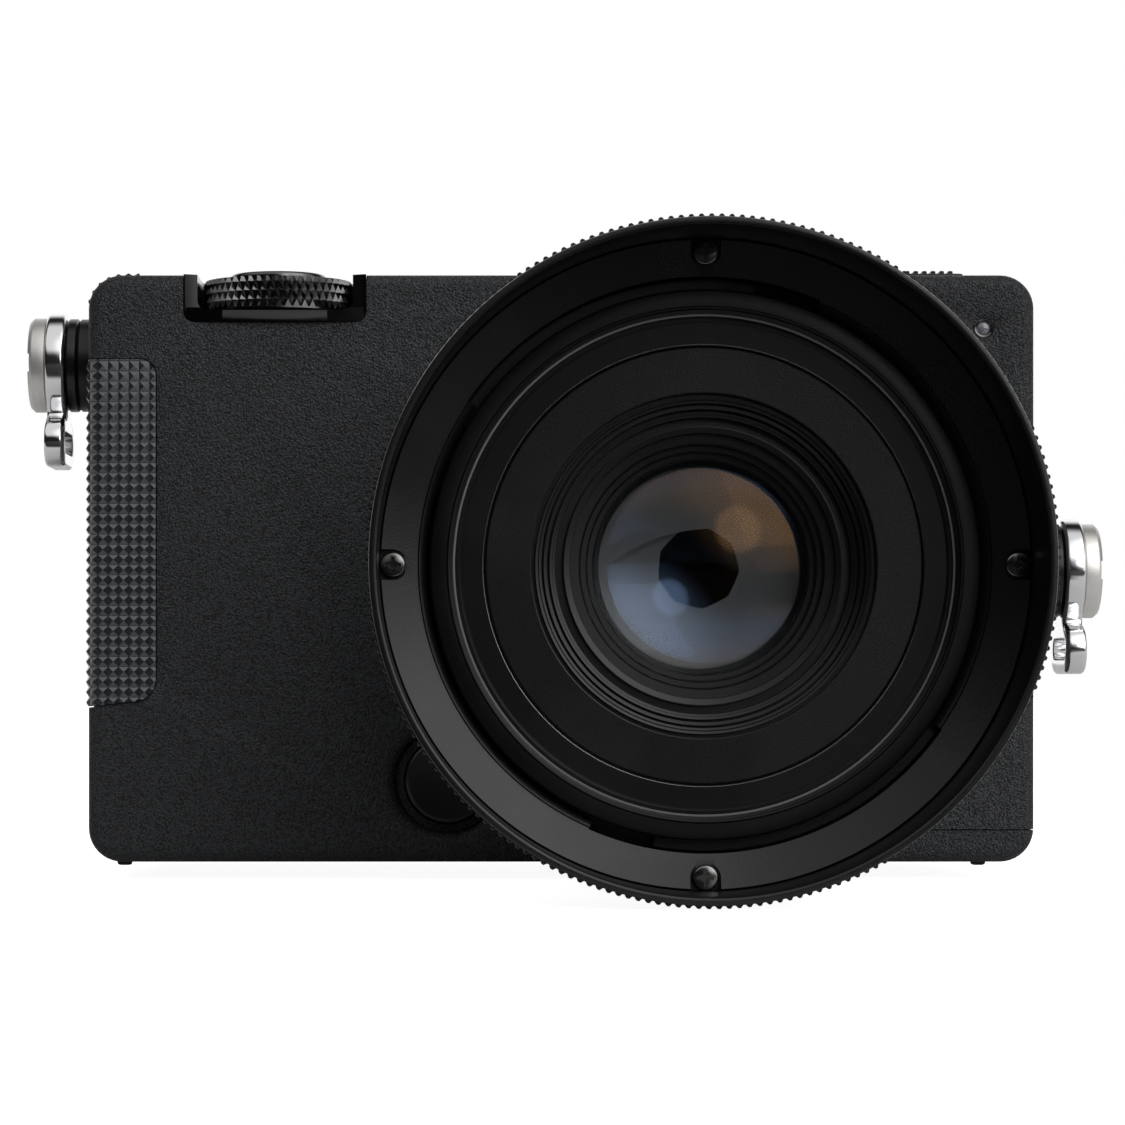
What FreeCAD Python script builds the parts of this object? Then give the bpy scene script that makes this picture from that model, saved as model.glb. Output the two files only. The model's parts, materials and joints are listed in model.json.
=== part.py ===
import FreeCAD, Part
import os
from math import acos, atan2, cos, degrees, hypot, pi, radians, sin

# A box-shaped mirrorless camera with a short prime lens and a round metal hood.
# Millimetres. The lens looks along -Y, the grip is on the -X side and +Z is up.
# The origin is the mouth of the tripod socket, straight below the lens axis.

Vec = FreeCAD.Vector

# Body
body_width = 112.6
body_height = 69.9
casing_depth = 26.0
back_cover_depth = 1.5
sink_depth = 6.3
screen_depth = 9.0
corner_radius = 4.0
edge_round = 1.5
wall = 1.6
front_wall = 2.0
axis_from_left = 70.3
axis_height = 33.9
socket_behind_front = 18.0
seam = 0.05
running_gap = 0.3
fit_gap = 0.15

# Mount and lens
mount_proud = 4.0
mount_radius = 31.0
mount_spigot_radius = 27.0
mount_spigot_length = 3.0
throat_radius = 25.8
mount_tab_radius = 24.1
mount_tab_front = 1.8
mount_tab_thickness = 1.7
bayonet_count = 3
bayonet_tab_angle = 56.0
flange_distance = 20.0
lens_length = 46.2
front_tube_radius = 29.3
lens_radius = front_tube_radius + 2.2
filter_radius = front_tube_radius - 2.2
filter_depth = 2.6

# Hood, from the lens tube outwards
hood_reach = 13.6
hood_hole_radius = front_tube_radius + 0.3
tube_tab_radius = front_tube_radius + 1.15
bayonet_tube_radius = tube_tab_radius + 1.2
hood_flange_width = 2.98
hood_bore_radius = bayonet_tube_radius + hood_flange_width
hood_wall = 1.2
hood_tip_radius = hood_bore_radius + hood_wall
hood_tooth_depth = 0.33
hood_teeth = 213
hood_knurl_width = 4.0
hood_flange_depth = 12.8
hood_flange_dish = 2.2
hood_hook_angle = 79.0
hood_hook_centres = (4.75, 184.75)
hood_screw_radius = 1.38
hood_screw_circle = hood_bore_radius - hood_screw_radius - 0.05

# Iris: each blade is a broad crescent on a long eye, with a nearly straight inner edge
blade_count = 9
blade_pivot_circle = 16.2
blade_edge_radius = 17.0
blade_swing = 13.53
iris_open_radius = 8.1
iris_window_radius = 10.6
blade_trim = 27.0
blade_root_turn = 33.0
blade_thickness = 0.12
blade_pitch = 0.17
blade_rest_turn = 17.75
blade_pin_radius = 0.45
blade_eye_radius = 1.1
blade_arm_width = 1.8
blade_reach = blade_pivot_circle - 2 * blade_pin_radius
iris_room_radius = blade_pivot_circle + blade_eye_radius + 0.4
iris_phase = 10.0

# Controls
dial_from_left = 22.25
dial_radius = 9.1
dial_teeth = 52
dial_height = 4.1
dial_behind_front = 9.35
seat_wall = 1.6
seat_floor = 1.4
seat_lip = 0.45
seat_lip_radius = 120.0
shutter_radius = 5.83
shutter_proud = 0.75
shutter_dome = 0.35
shutter_travel = 0.9
release_from_axis = (-27.5, -24.2)
release_radius = 5.1
release_travel = 1.2
lock_pin_radius = 1.0
lock_pin_circle = 28.6
rear_dial_radius = 10.0
rear_dial_teeth = 60
button_travel = 0.5

# Strap fittings
strap_behind_front = 15.0
strap_left_below_top = 9.7
strap_right_height = 35.0
left_washer_count = 1
right_washer_count = 2
strap_boss_radius = 5.65
strap_boss_height = 2.26
strap_spigot_radius = 4.2
strap_bore_radius = 3.175
strap_shank_radius = 3.1
washer_thickness = 1.4
eyelet_thickness = 2.4
eyelet_ring_radius = 6.4
eyelet_drop = 12.6
strap_head_radius = 5.75
strap_head_thickness = 2.1

# Places worked out from the values above
x_left = -axis_from_left
x_right = body_width - axis_from_left
z_top = body_height
y_front = -socket_behind_front
y_casing_back = y_front + casing_depth
y_split = y_casing_back - back_cover_depth
y_sink_back = y_casing_back + sink_depth
y_back = y_sink_back + screen_depth
y_flange = y_front - mount_proud
y_rim = y_flange - lens_length
y_hood_front = y_rim - hood_reach
y_filter_floor = y_rim + filter_depth
y_strap = y_front + strap_behind_front
z_strap_left = z_top - strap_left_below_top
dial_x = x_left + dial_from_left
dial_y = y_front + dial_behind_front
seat_inner_radius = dial_radius + fit_gap
seat_outer_radius = seat_inner_radius + seat_wall
z_seat_bottom = z_top - dial_height - seat_floor - fit_gap
z_seat_floor = z_seat_bottom + seat_floor
far = 200.0


def box(x0, x1, y0, y1, z0, z1):
    return Part.makeBox(x1 - x0, y1 - y0, z1 - z0, Vec(x0, y0, z0))


def rod(radius, start, direction, length):
    return Part.makeCylinder(radius, length, Vec(*start), Vec(*direction))


def lens_rod(radius, y0, y1, x=0.0, z=0.0):
    """A cylinder along the lens axis, or beside it by x and z."""
    return rod(radius, (x, y0, axis_height + z), (0, 1, 0), y1 - y0)


def sound(shape):
    """The same solid with its faces pointing outwards."""
    if shape.Volume < 0:
        shape.reverse()
    return shape


def turned(profile, angle=360.0, start=0.0):
    """A profile of (radius, y) points turned about the lens axis, anticlockwise seen from the front."""
    centre = Vec(0, 0, axis_height)
    points = [Vec(radius, y, axis_height) for radius, y in profile]
    face = Part.Face(Part.makePolygon(points + points[:1]))
    shape = sound(Part.Solid(face.revolve(centre, Vec(0, -1, 0), angle)))
    shape.rotate(centre, Vec(0, -1, 0), start)
    return shape


def ring(r_out, r_in, y0, y1, angle=360.0, start=0.0):
    return turned([(r_in, y0), (r_out, y0), (r_out, y1), (r_in, y1)], angle, start)


def line_edges(shape, direction):
    """Straight edges that run along one direction."""
    found = []
    for edge in shape.Edges:
        if isinstance(edge.Curve, Part.Line):
            along = edge.Vertexes[-1].Point.sub(edge.Vertexes[0].Point).normalize()
            if abs(abs(along.dot(Vec(*direction))) - 1) < 1e-6:
                found.append(edge)
    return found


def plane_edges(shape, axis, value):
    """Edges that lie in the plane where one coordinate has this value."""
    found = []
    for edge in shape.Edges:
        limits = edge.BoundBox
        low = (limits.XMin, limits.YMin, limits.ZMin)[axis]
        high = (limits.XMax, limits.YMax, limits.ZMax)[axis]
        if abs(low - value) < 1e-4 and abs(high - value) < 1e-4:
            found.append(edge)
    return found


def rounded_box(x0, x1, y0, y1, z0, z1, radius, along):
    """A box whose four edges along one direction are rounded."""
    shape = box(x0, x1, y0, y1, z0, z1)
    return shape.makeFillet(radius, line_edges(shape, along))


def toothed(tip, root, teeth, centre, direction, length):
    """A prism with straight V teeth round it."""
    points = []
    for number in range(2 * teeth):
        radius = tip if number % 2 == 0 else root
        turn = pi * number / teeth
        points.append(Vec(radius * cos(turn), radius * sin(turn), 0))
    shape = Part.Face(Part.makePolygon(points + points[:1])).extrude(Vec(0, 0, length))
    shape.Placement = FreeCAD.Placement(Vec(*centre), FreeCAD.Rotation(Vec(0, 0, 1), Vec(*direction)))
    return shape


def casing_block(grow, y_end):
    """The casing's outer form, grown or shrunk all over."""
    shape = rounded_box(
        x_left - grow, x_right + grow, y_front - grow, y_end,
        -grow, z_top + grow, corner_radius + grow, (0, 1, 0))
    return shape.makeFillet(edge_round + grow, plane_edges(shape, 1, y_front - grow))


def inner_block(inset, y0, y1):
    return rounded_box(
        x_left + inset, x_right - inset, y0, y1,
        inset, z_top - inset, max(corner_radius - inset, 0.5), (0, 1, 0))


# Rubber skins sit in shallow recesses of the casing

rubber_recess = 0.6
rubber_proud = 0.4
grip_x = x_left + 8.1
grip_top = z_strap_left - 0.4
grip_bottom = 18.0
grip_rise = 0.9
grip_corner_x = 2.4
grip_corner_z = 2.2
grip_side_end = 3.0
thumb_x = x_left + 5.9
thumb_bottom = z_strap_left + strap_boss_radius + 0.3
thumb_start = 3.0


def grip_region(grow):
    """The outline of the front grip, run straight back round the left side."""
    left = x_left - 2.0
    right = grip_x + grow
    low = grip_bottom - grow
    high = grip_top + grow
    top_round = 2.0
    top_arc = Part.Arc(
        Vec(right - top_round, 0, high),
        Vec(right - top_round + top_round * cos(pi / 4), 0, high - top_round + top_round * sin(pi / 4)),
        Vec(right, 0, high - top_round))
    foot_start = Vec(right, 0, low + grip_rise + grip_corner_z)
    foot_end = Vec(right - grip_corner_x, 0, low + grip_rise)
    foot_mid = Vec(right - 0.35 * grip_corner_x, 0, low + grip_rise + 0.38 * grip_corner_z)
    edges = [
        Part.LineSegment(Vec(left, 0, high), Vec(right - top_round, 0, high)).toShape(),
        top_arc.toShape(),
        Part.LineSegment(Vec(right, 0, high - top_round), foot_start).toShape(),
        Part.Arc(foot_start, foot_mid, foot_end).toShape(),
        Part.LineSegment(foot_end, Vec(left, 0, low)).toShape(),
        Part.LineSegment(Vec(left, 0, low), Vec(left, 0, high)).toShape(),
    ]
    face = Part.Face(Part.Wire(edges))
    shape = face.extrude(Vec(0, grip_side_end + grow - y_front + 2.0, 0))
    shape.translate(Vec(0, y_front - 2.0, 0))
    boss_room = rod(strap_boss_radius + 0.6 - grow, (x_left - 3, y_strap, z_strap_left), (1, 0, 0), 8.0)
    return shape.cut(boss_room)


def thumb_region(grow):
    return box(
        x_left - 2.0, thumb_x + grow, y_front + thumb_start - grow, y_split - 0.4 + grow,
        thumb_bottom - grow, z_top + 2.0)


def rubber(region):
    skin = casing_block(rubber_proud, y_split + 1).cut(casing_block(seam - rubber_recess, y_split + 2))
    return skin.common(region)


def rubber_recess_cut(region):
    return casing_block(1.0, y_split + 1).cut(casing_block(-rubber_recess, y_split + 2)).common(region)


# Dial seat, dial and shutter button

def dial_cup(radius, floor):
    """A U in plan round the dial, open to the front, with its lower edge rounded."""
    top = z_top + 3.0
    bowl = rod(radius, (dial_x, dial_y, floor), (0, 0, 1), top - floor)
    mouth = box(dial_x - radius, dial_x + radius, y_front - 3.0, dial_y, floor, top)
    cup = bowl.fuse(mouth).removeSplitter()
    lower = [edge for edge in plane_edges(cup, 2, floor) if edge.BoundBox.YMax > y_front - 2.9]
    return cup.makeFillet(1.2, lower)


def dial_seat():
    seat = dial_cup(seat_outer_radius, z_seat_bottom).cut(dial_cup(seat_inner_radius, z_seat_floor))
    y_lip = y_front - seat_lip + seat_lip_radius
    lip = rod(seat_lip_radius, (dial_x, y_lip, z_seat_bottom), (0, 0, 1), z_top - z_seat_bottom)
    seat = seat.common(lip)
    return seat.cut(rod(2.0 + fit_gap, (dial_x, dial_y, z_seat_bottom - 1), (0, 0, 1), 4.0))


def front_dial():
    bottom = z_seat_floor + fit_gap - 0.05
    dial = toothed(dial_radius, dial_radius - 0.45, dial_teeth, (dial_x, dial_y, bottom), (0, 0, 1), dial_height)
    trim = Part.makeCone(
        dial_radius - 0.8, dial_radius + 1.2, 2.0, Vec(dial_x, dial_y, bottom), Vec(0, 0, 1))
    body = rod(far, (dial_x, dial_y, bottom + 2.0), (0, 0, 1), dial_height)
    dial = dial.common(trim.fuse(body))
    return dial.cut(rod(shutter_radius + fit_gap + 0.05, (dial_x, dial_y, bottom - 1), (0, 0, 1), 9.0))


def shutter_button():
    under = z_seat_floor + shutter_travel + running_gap + 0.3
    edge = z_top + shutter_proud
    sphere_radius = (shutter_radius ** 2 + shutter_dome ** 2) / (2 * shutter_dome)
    head = rod(shutter_radius, (dial_x, dial_y, under), (0, 0, 1), edge + shutter_dome - under)
    dome = Part.makeSphere(sphere_radius, Vec(dial_x, dial_y, edge + shutter_dome - sphere_radius))
    stem = rod(2.0, (dial_x, dial_y, z_seat_bottom - 2.4), (0, 0, 1), under - z_seat_bottom + 2.5)
    return head.common(dome).fuse(stem)


# Sliding and pressing controls on the top

class Slider:
    """A knob on the top plate whose neck runs in a slot, with a keeper below."""

    def __init__(self, x0, x1, y_mid, width, height, travel, ribs):
        self.x0, self.x1 = x0, x1
        self.y_mid, self.width = y_mid, width
        self.height, self.travel, self.ribs = height, travel, ribs
        self.neck = 0.25 * (x1 - x0)
        self.neck_half = 1.2

    def solid(self):
        half = self.width / 2
        low = z_top + seam
        lower = low + 0.6 * self.height
        knob = rounded_box(
            self.x0, self.x1, self.y_mid - half, self.y_mid + half, low, lower, 0.8, (0, 0, 1))
        rib_pitch = (self.x1 - self.x0 - 1.6) / self.ribs
        for number in range(self.ribs):
            start = self.x0 + 0.8 + number * rib_pitch
            knob = knob.fuse(box(
                start, start + 0.55 * rib_pitch, self.y_mid - half + 0.3, self.y_mid + half - 0.3,
                lower - 0.1, z_top + self.height))
        middle = (self.x0 + self.x1) / 2
        neck = box(
            middle - self.neck, middle + self.neck, self.y_mid - self.neck_half, self.y_mid + self.neck_half,
            z_top - wall - 1.0, low + 0.1)
        keeper = box(
            middle - self.neck - 1.5, middle + self.neck + 1.5, self.y_mid - 2.2, self.y_mid + 2.2,
            z_top - wall - 1.0, z_top - wall - seam)
        return knob.fuse([neck, keeper]).removeSplitter()

    def slot(self):
        middle = (self.x0 + self.x1) / 2
        low = middle - self.neck + min(self.travel, 0) - seam
        high = middle + self.neck + max(self.travel, 0) + seam
        half = self.neck_half + seam
        return box(low, high, self.y_mid - half, self.y_mid + half, z_top - wall - 1, z_top + 1)


power_slider = Slider(x_right - 20.8, x_right - 7.8, y_front + 8.0, 4.8, 1.0, -3.0, 11)
mode_slider = Slider(-10.0, -3.0, y_front + 13.5, 3.4, 0.9, 4.0, 4)
record_x = dial_x + 17.55
record_y = y_front + 14.0
record_radius = 3.0


def record_button():
    head = rod(record_radius, (record_x, record_y, z_top - wall - 0.9), (0, 0, 1), wall + 1.4)
    keeper = rod(record_radius + 0.7, (record_x, record_y, z_top - wall - 0.9), (0, 0, 1), 0.85)
    return head.fuse(keeper)


# Lens release button and the pin that it draws back

release_x, release_up = release_from_axis
pin_scale = lock_pin_circle / hypot(release_x, release_up)
pin_x = release_x * pin_scale
pin_up = release_up * pin_scale
y_keeper = y_front + front_wall + seam


def release_button():
    head = lens_rod(release_radius, y_front, y_keeper + 0.1, release_x, release_up)
    dish = Part.makeSphere(40.0, Vec(release_x, y_front + 0.35 - 40.0, axis_height + release_up))
    keeper = lens_rod(release_radius + 0.8, y_keeper, y_keeper + 0.9, release_x, release_up)
    stem = lens_rod(2.2, y_keeper + 0.8, y_keeper + 1.1, release_x, release_up)
    return head.fuse([keeper, stem]).cut(dish)


def lock_pin():
    y_bar = y_keeper + 1.1
    pin = lens_rod(lock_pin_radius, y_flange - 1.0, y_bar + 0.5, pin_x, pin_up)
    start = lock_pin_circle - 1.2
    end = hypot(release_x, release_up) + 1.8
    bar = box(start, end, y_bar, y_bar + 1.0, axis_height - 1.6, axis_height + 1.6)
    turn = FreeCAD.Rotation(Vec(1, 0, 0), Vec(release_x, 0, release_up))
    bar.rotate(Vec(0, 0, axis_height), turn.Axis, turn.Angle * 180 / pi)
    return pin.fuse(bar)


# Lamp

lamp_x = x_right - 6.1
lamp_z = z_top - 6.4
lamp_radius = 0.75


def lamp_hole():
    hole = rod(lamp_radius + 0.1, (lamp_x, y_front - 1, lamp_z), (0, 1, 0), 5.0)
    dimple = Part.makeCone(1.6, lamp_radius + 0.3, 0.3, Vec(lamp_x, y_front, lamp_z), Vec(0, 1, 0))
    return hole.fuse(dimple)


# Doors: flat panels with a round hinge edge

port_y0 = y_front + 2.7
port_y1 = y_front + 8.7
port_z0 = 5.1
port_z1 = 58.1
port_proud = 0.3
port_thickness = 2.0
door_x0 = x_left + 5.9
door_hinge_x = x_left + 39.3
door_y0 = y_front + 5.4
door_y1 = y_casing_back - 3.2
door_gap = 0.2
latch_x0 = door_x0 + 2.1
latch_length = 6.0
latch_travel = 2.5
latch_y0 = -4.9
latch_y1 = 0.9


def port_hinge():
    return x_right + port_proud - port_thickness / 2, port_y0 + port_thickness / 2


def port_door():
    x_hinge, y_hinge = port_hinge()
    half = port_thickness / 2
    low = port_z0 + door_gap
    high = port_z1 - door_gap
    panel = box(x_hinge - half, x_hinge + half, y_hinge, port_y1 - door_gap, low, high)
    tip = line_edges(panel, (0, 0, 1))
    outer = [edge for edge in tip if edge.BoundBox.XMin > x_hinge and edge.BoundBox.YMin > y_hinge + half]
    panel = panel.makeFillet(0.7, outer)
    return panel.fuse(rod(half, (x_hinge, y_hinge, low), (0, 0, 1), high - low))


def port_opening():
    return box(x_right - wall - 1, x_right + 2, port_y0 - door_gap, port_y1, port_z0, port_z1)


def battery_door():
    half = wall / 2
    low = door_y0 + door_gap
    high = door_y1 - door_gap
    panel = box(door_x0 + door_gap, door_hinge_x, low, high, 0, wall)
    panel = panel.fuse(rod(half, (door_hinge_x, low, half), (0, 1, 0), high - low))
    pocket = box(latch_x0 - 0.2, latch_x0 + latch_length + latch_travel + 0.2,
                 latch_y0 - 0.1, latch_y1 + 0.1, -1, 1.0)
    return panel.cut(pocket)


def battery_opening():
    return box(door_x0, door_hinge_x + wall / 2 + door_gap, door_y0, door_y1, -1, wall + 1)


def battery_latch():
    latch = box(latch_x0, latch_x0 + latch_length, latch_y0, latch_y1, 0.1, 0.95)
    for number in range(4):
        start = latch_x0 + 0.7 + number * 1.25
        latch = latch.fuse(box(start, start + 0.7, latch_y0 + 0.5, latch_y1 - 0.5, -0.15, 0.2))
    return latch


# Casing

panel_left = -14.0
panel_height = 3.9
bush_radius = 4.9
bush_length = 6.0
tripod_radius = 3.175
foot_radius = 0.9
foot_height = 0.5
foot_places = [
    (x, y)
    for y in (y_front + 4.0, y_casing_back - 4.0)
    for x in (x_left + 4.1, x_right - 6.3)]


def foot_rods(radius):
    rods = [rod(radius, (x, y, -foot_height), (0, 0, 1), foot_height + 1.2) for x, y in foot_places]
    return Part.Compound(rods)


def panel_region(grow):
    return box(panel_left - grow, x_right + 5, y_front - 5, y_split + 5, -5, panel_height + grow)


def front_shell():
    shell = casing_block(0, y_split).cut(inner_block(wall, y_front + front_wall, y_split + 1))
    cuts = [
        lens_rod(mount_spigot_radius + seam, y_front - 1, y_front + front_wall + 1),
        lens_rod(lock_pin_radius + fit_gap, y_front - 1, y_front + front_wall + 1, pin_x, pin_up),
        lens_rod(release_radius + fit_gap, y_front - 1, y_front + front_wall + 1, release_x, release_up),
        Part.makeCone(7.1, 6.3, 0.5, Vec(release_x, y_front, axis_height + release_up), Vec(0, 1, 0)),
        lamp_hole(),
        dial_cup(seat_outer_radius + seam, z_seat_bottom - seam),
        power_slider.slot(),
        mode_slider.slot(),
        rod(record_radius + fit_gap, (record_x, record_y, z_top - wall - 1), (0, 0, 1), wall + 2),
        port_opening(),
        battery_opening(),
        panel_region(0),
        rubber_recess_cut(grip_region(seam)),
        rubber_recess_cut(thumb_region(seam)),
        rod(strap_spigot_radius + seam, (x_left - 1, y_strap, z_strap_left), (1, 0, 0), 5.0),
        rod(strap_spigot_radius + seam, (x_right + 1, y_strap, strap_right_height), (-1, 0, 0), 5.0),
        foot_rods(foot_radius + 0.02),
    ]
    return shell.cut(cuts)


def base_panel():
    panel = casing_block(0, y_split).cut(inner_block(wall, y_front + front_wall, y_split + 1))
    panel = panel.common(panel_region(-seam))
    boss = rod(bush_radius + 1.8, (0, 0, 0.3), (0, 0, 1), bush_length + 0.3)
    boss = boss.common(inner_block(0, y_front, y_split))
    panel = panel.fuse(boss).removeSplitter()
    bush_hole = rod(bush_radius + 0.02, (0, 0, -1), (0, 0, 1), bush_length + 1)
    return panel.cut([bush_hole, foot_rods(foot_radius + 0.02)])


def back_cover():
    plate = rounded_box(
        x_left, x_right, y_split + seam, y_casing_back, 0, z_top, corner_radius, (0, 1, 0))
    lip = inner_block(wall + 0.1, y_split - 1.5, y_split + 0.5)
    lip = lip.cut(inner_block(wall + 1.1, y_split - 2, y_split + 1))
    lip = lip.cut(rod(bush_radius + 2.2, (0, 0, -1), (0, 0, 1), bush_length + 2))
    posts = []
    for x in (board_x0 + 4, board_x1 - 4):
        for z in (board_z0 + 4, board_z1 - 4):
            posts.append(rod(2.0, (x, board_y1 + seam, z), (0, 1, 0), y_split + 0.5 - board_y1))
    return plate.fuse([lip] + posts)


# Inner pieces

y_sensor = y_flange + flange_distance
board_x0, board_x1 = x_left + 45.3, x_right - 8.3
board_z0, board_z1 = 9.0, z_top - 6.9
board_y0 = y_sensor + 2.5
board_y1 = board_y0 + 1.6
battery_front = y_front + 8.8
battery_height = 44.1
card_x0 = door_x0 + 2.4
card_x1 = card_x0 + 24.0
card_height = 32.1


def image_sensor():
    package = box(-20.5, 20.5, y_sensor - 0.6, board_y0 - seam, axis_height - 15.0, axis_height + 15.0)
    cover = box(-19.0, 19.0, y_sensor - 1.4, y_sensor - 0.5, axis_height - 13.5, axis_height + 13.5)
    return package.fuse(cover)


def main_board():
    board = box(board_x0, board_x1, board_y0, board_y1, board_z0, board_z1)
    for x, z, size in ((-14.0, 44.0, 12.0), (8.0, 46.0, 9.0), (10.0, 22.0, 14.0)):
        board = board.fuse(box(x, x + size, board_y1 - 0.1, board_y1 + 1.2, z, z + size))
    return board


def battery():
    low = wall + 0.3
    shape = box(
        door_x0 + 0.4, door_hinge_x + 0.6, battery_front, door_y1 - 0.4, low, low + battery_height)
    return shape.makeFillet(1.5, line_edges(shape, (0, 0, 1)))


def memory_card():
    low = wall + 0.3
    card = box(card_x0, card_x1, battery_front - 3.0, battery_front - 0.9, low, low + card_height)
    corner = box(-5, 5, -9, 9, -5, 5)
    corner.rotate(Vec(0, 0, 0), Vec(0, 1, 0), 45)
    corner.translate(Vec(card_x1 + 2.0, battery_front - 2, low - 2.0))
    return card.cut(corner)


def port_sockets():
    face_x = x_right - wall - 0.2
    y_mid = (port_y0 + port_y1) / 2
    board = box(face_x - 5.6, face_x - 4.6, port_y0, port_y1, port_z0 + 2, port_z1 - 2)
    wide = box(face_x - 4.7, face_x, y_mid - 1.5, y_mid + 1.5, 16.0, 23.0)
    wide = wide.cut(box(face_x - 3.7, face_x + 1, y_mid - 1.1, y_mid + 1.1, 16.5, 22.5))
    oval = rounded_box(face_x - 4.7, face_x, y_mid - 1.7, y_mid + 1.7, 30.0, 39.4, 1.6, (1, 0, 0))
    room = rounded_box(face_x - 3.7, face_x + 1, y_mid - 1.3, y_mid + 1.3, 30.4, 39.0, 1.25, (1, 0, 0))
    tongue = box(face_x - 4.0, face_x - 0.4, y_mid - 0.35, y_mid + 0.35, 31.8, 37.6)
    jack = rod(2.9, (face_x - 4.7, y_mid, 50.0), (1, 0, 0), 4.7)
    jack = jack.cut(rod(1.75, (face_x - 3.9, y_mid, 50.0), (1, 0, 0), 5.0))
    return board.fuse([wide, oval.cut(room), tongue, jack])


def tripod_bush():
    bush = rod(bush_radius, (0, 0, 0), (0, 0, 1), bush_length - 0.05)
    return bush.cut(rod(tripod_radius, (0, 0, -1), (0, 0, 1), bush_length + 2))


def heat_sink():
    pitch = 2.9
    fin = 1.0
    inset = 2.0
    x0 = x_left + inset
    x1 = x_right - inset
    fins = int((x1 - x0 - fin) / pitch) + 1
    start = (x0 + x1 - (fins - 1) * pitch - fin) / 2
    y_root = y_casing_back + 1.2
    points = [Vec(x0, y_casing_back, 0), Vec(x0, y_root, 0)]
    for number in range(fins):
        left = start + number * pitch
        points += [Vec(left, y_root, 0), Vec(left, y_sink_back, 0)]
        points += [Vec(left + fin, y_sink_back, 0), Vec(left + fin, y_root, 0)]
    points += [Vec(x1, y_root, 0), Vec(x1, y_casing_back, 0)]
    face = Part.Face(Part.makePolygon(points + points[:1]))
    comb = face.extrude(Vec(0, 0, z_top - 2.4))
    comb.translate(Vec(0, 0, 1.2))
    return comb


# Screen unit

frame_inset = 0.6
glass_x0, glass_x1 = x_left + 35.3, x_right - 3.8
glass_z0, glass_z1 = 15.0, z_top - 4.4
glass_depth = 0.9
rear_dial_x = x_left + 17.8
rear_dial_z = 37.0
select_radius = 4.9
y_pocket = y_back - 2.3
y_dial_floor = y_back - 1.8
quick_place = (rear_dial_x, z_top - 12.4)
quick_radius = 2.8
row_z = 7.8
row_right = x_right - 10.3
row_pitch = 15.0
row_places = {
    "menu_button": row_right - 3 * row_pitch,
    "tone_button": row_right - 2 * row_pitch,
    "view_button": row_right - row_pitch,
    "play_button": row_right,
}
row_length = 7.0
row_height = 3.4


def row_shape(x, grow, y0, y1):
    return rounded_box(
        x - row_length / 2 - grow, x + row_length / 2 + grow, y0, y1,
        row_z - row_height / 2 - grow, row_z + row_height / 2 + grow, row_height / 2 + grow - 0.01, (0, 1, 0))


def screen_frame():
    frame = rounded_box(
        x_left + frame_inset, x_right - frame_inset, y_sink_back, y_back,
        frame_inset, z_top - frame_inset, corner_radius, (0, 1, 0))
    frame = frame.makeFillet(1.0, plane_edges(frame, 1, y_back))
    cuts = [
        rounded_box(glass_x0, glass_x1, y_back - glass_depth, y_back + 1, glass_z0, glass_z1, 1.5, (0, 1, 0)),
        rod(rear_dial_radius + running_gap, (rear_dial_x, y_dial_floor, rear_dial_z), (0, 1, 0), 5.0),
        rod(quick_radius + fit_gap, (quick_place[0], y_pocket, quick_place[1]), (0, 1, 0), 5.0),
    ]
    for x in row_places.values():
        cuts.append(row_shape(x, fit_gap, y_pocket, y_back + 1))
    return frame.cut(cuts)


def screen_glass():
    edge = 0.1
    return rounded_box(
        glass_x0 + edge, glass_x1 - edge, y_back - glass_depth + seam, y_back - seam,
        glass_z0 + edge, glass_z1 - edge, 1.4, (0, 1, 0))


def rear_dial():
    place = (rear_dial_x, y_dial_floor + 0.1, rear_dial_z)
    height = y_back + 1.0 - y_dial_floor - 0.1
    dial = toothed(rear_dial_radius, rear_dial_radius - 0.3, rear_dial_teeth, place, (0, 1, 0), height)
    return dial.cut(rod(select_radius + running_gap, (rear_dial_x, y_dial_floor, rear_dial_z), (0, 1, 0), 9.0))


def select_button():
    y0 = y_dial_floor + button_travel + 0.2
    return rod(select_radius, (rear_dial_x, y0, rear_dial_z), (0, 1, 0), y_back + 0.6 - y0)


def small_button_y():
    return y_pocket + button_travel + 0.2, y_back + 0.5


# Strap fittings: the same stack on both sides, with one more washer on the right

def side_rod(side, radius, reach0, reach1, z):
    """A rod square to a side wall, from one distance outside that wall to another."""
    x_side = x_left if side < 0 else x_right
    return rod(radius, (x_side + side * reach0, y_strap, z), (side, 0, 0), reach1 - reach0)


def stack(washers):
    """Distances from the side wall to the eyelet plate and to the screw head."""
    plate = strap_boss_height + washers * washer_thickness + seam
    return plate, plate + eyelet_thickness + seam


sides = ((-1, z_strap_left, left_washer_count), (1, strap_right_height, right_washer_count))


def strap_sockets():
    solids = []
    for side, z, _ in sides:
        boss = side_rod(side, strap_boss_radius, 0, strap_boss_height, z)
        spigot = side_rod(side, strap_spigot_radius, -3.6, 0.1, z)
        solids.append(boss.fuse(spigot).cut(side_rod(side, strap_bore_radius, -5, 5, z)))
    return Part.Compound(solids)


def strap_washers():
    solids = []
    for side, z, washers in sides:
        for number in range(washers):
            inner = strap_boss_height + number * washer_thickness
            washer = side_rod(side, strap_boss_radius + 0.05, inner, inner + washer_thickness, z)
            washer = washer.makeChamfer(0.2, [edge for edge in washer.Edges if isinstance(edge.Curve, Part.Circle)])
            solids.append(washer.cut(side_rod(side, strap_shank_radius + 0.1, inner - 1, inner + 3, z)))
    return Part.Compound(solids)


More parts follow.
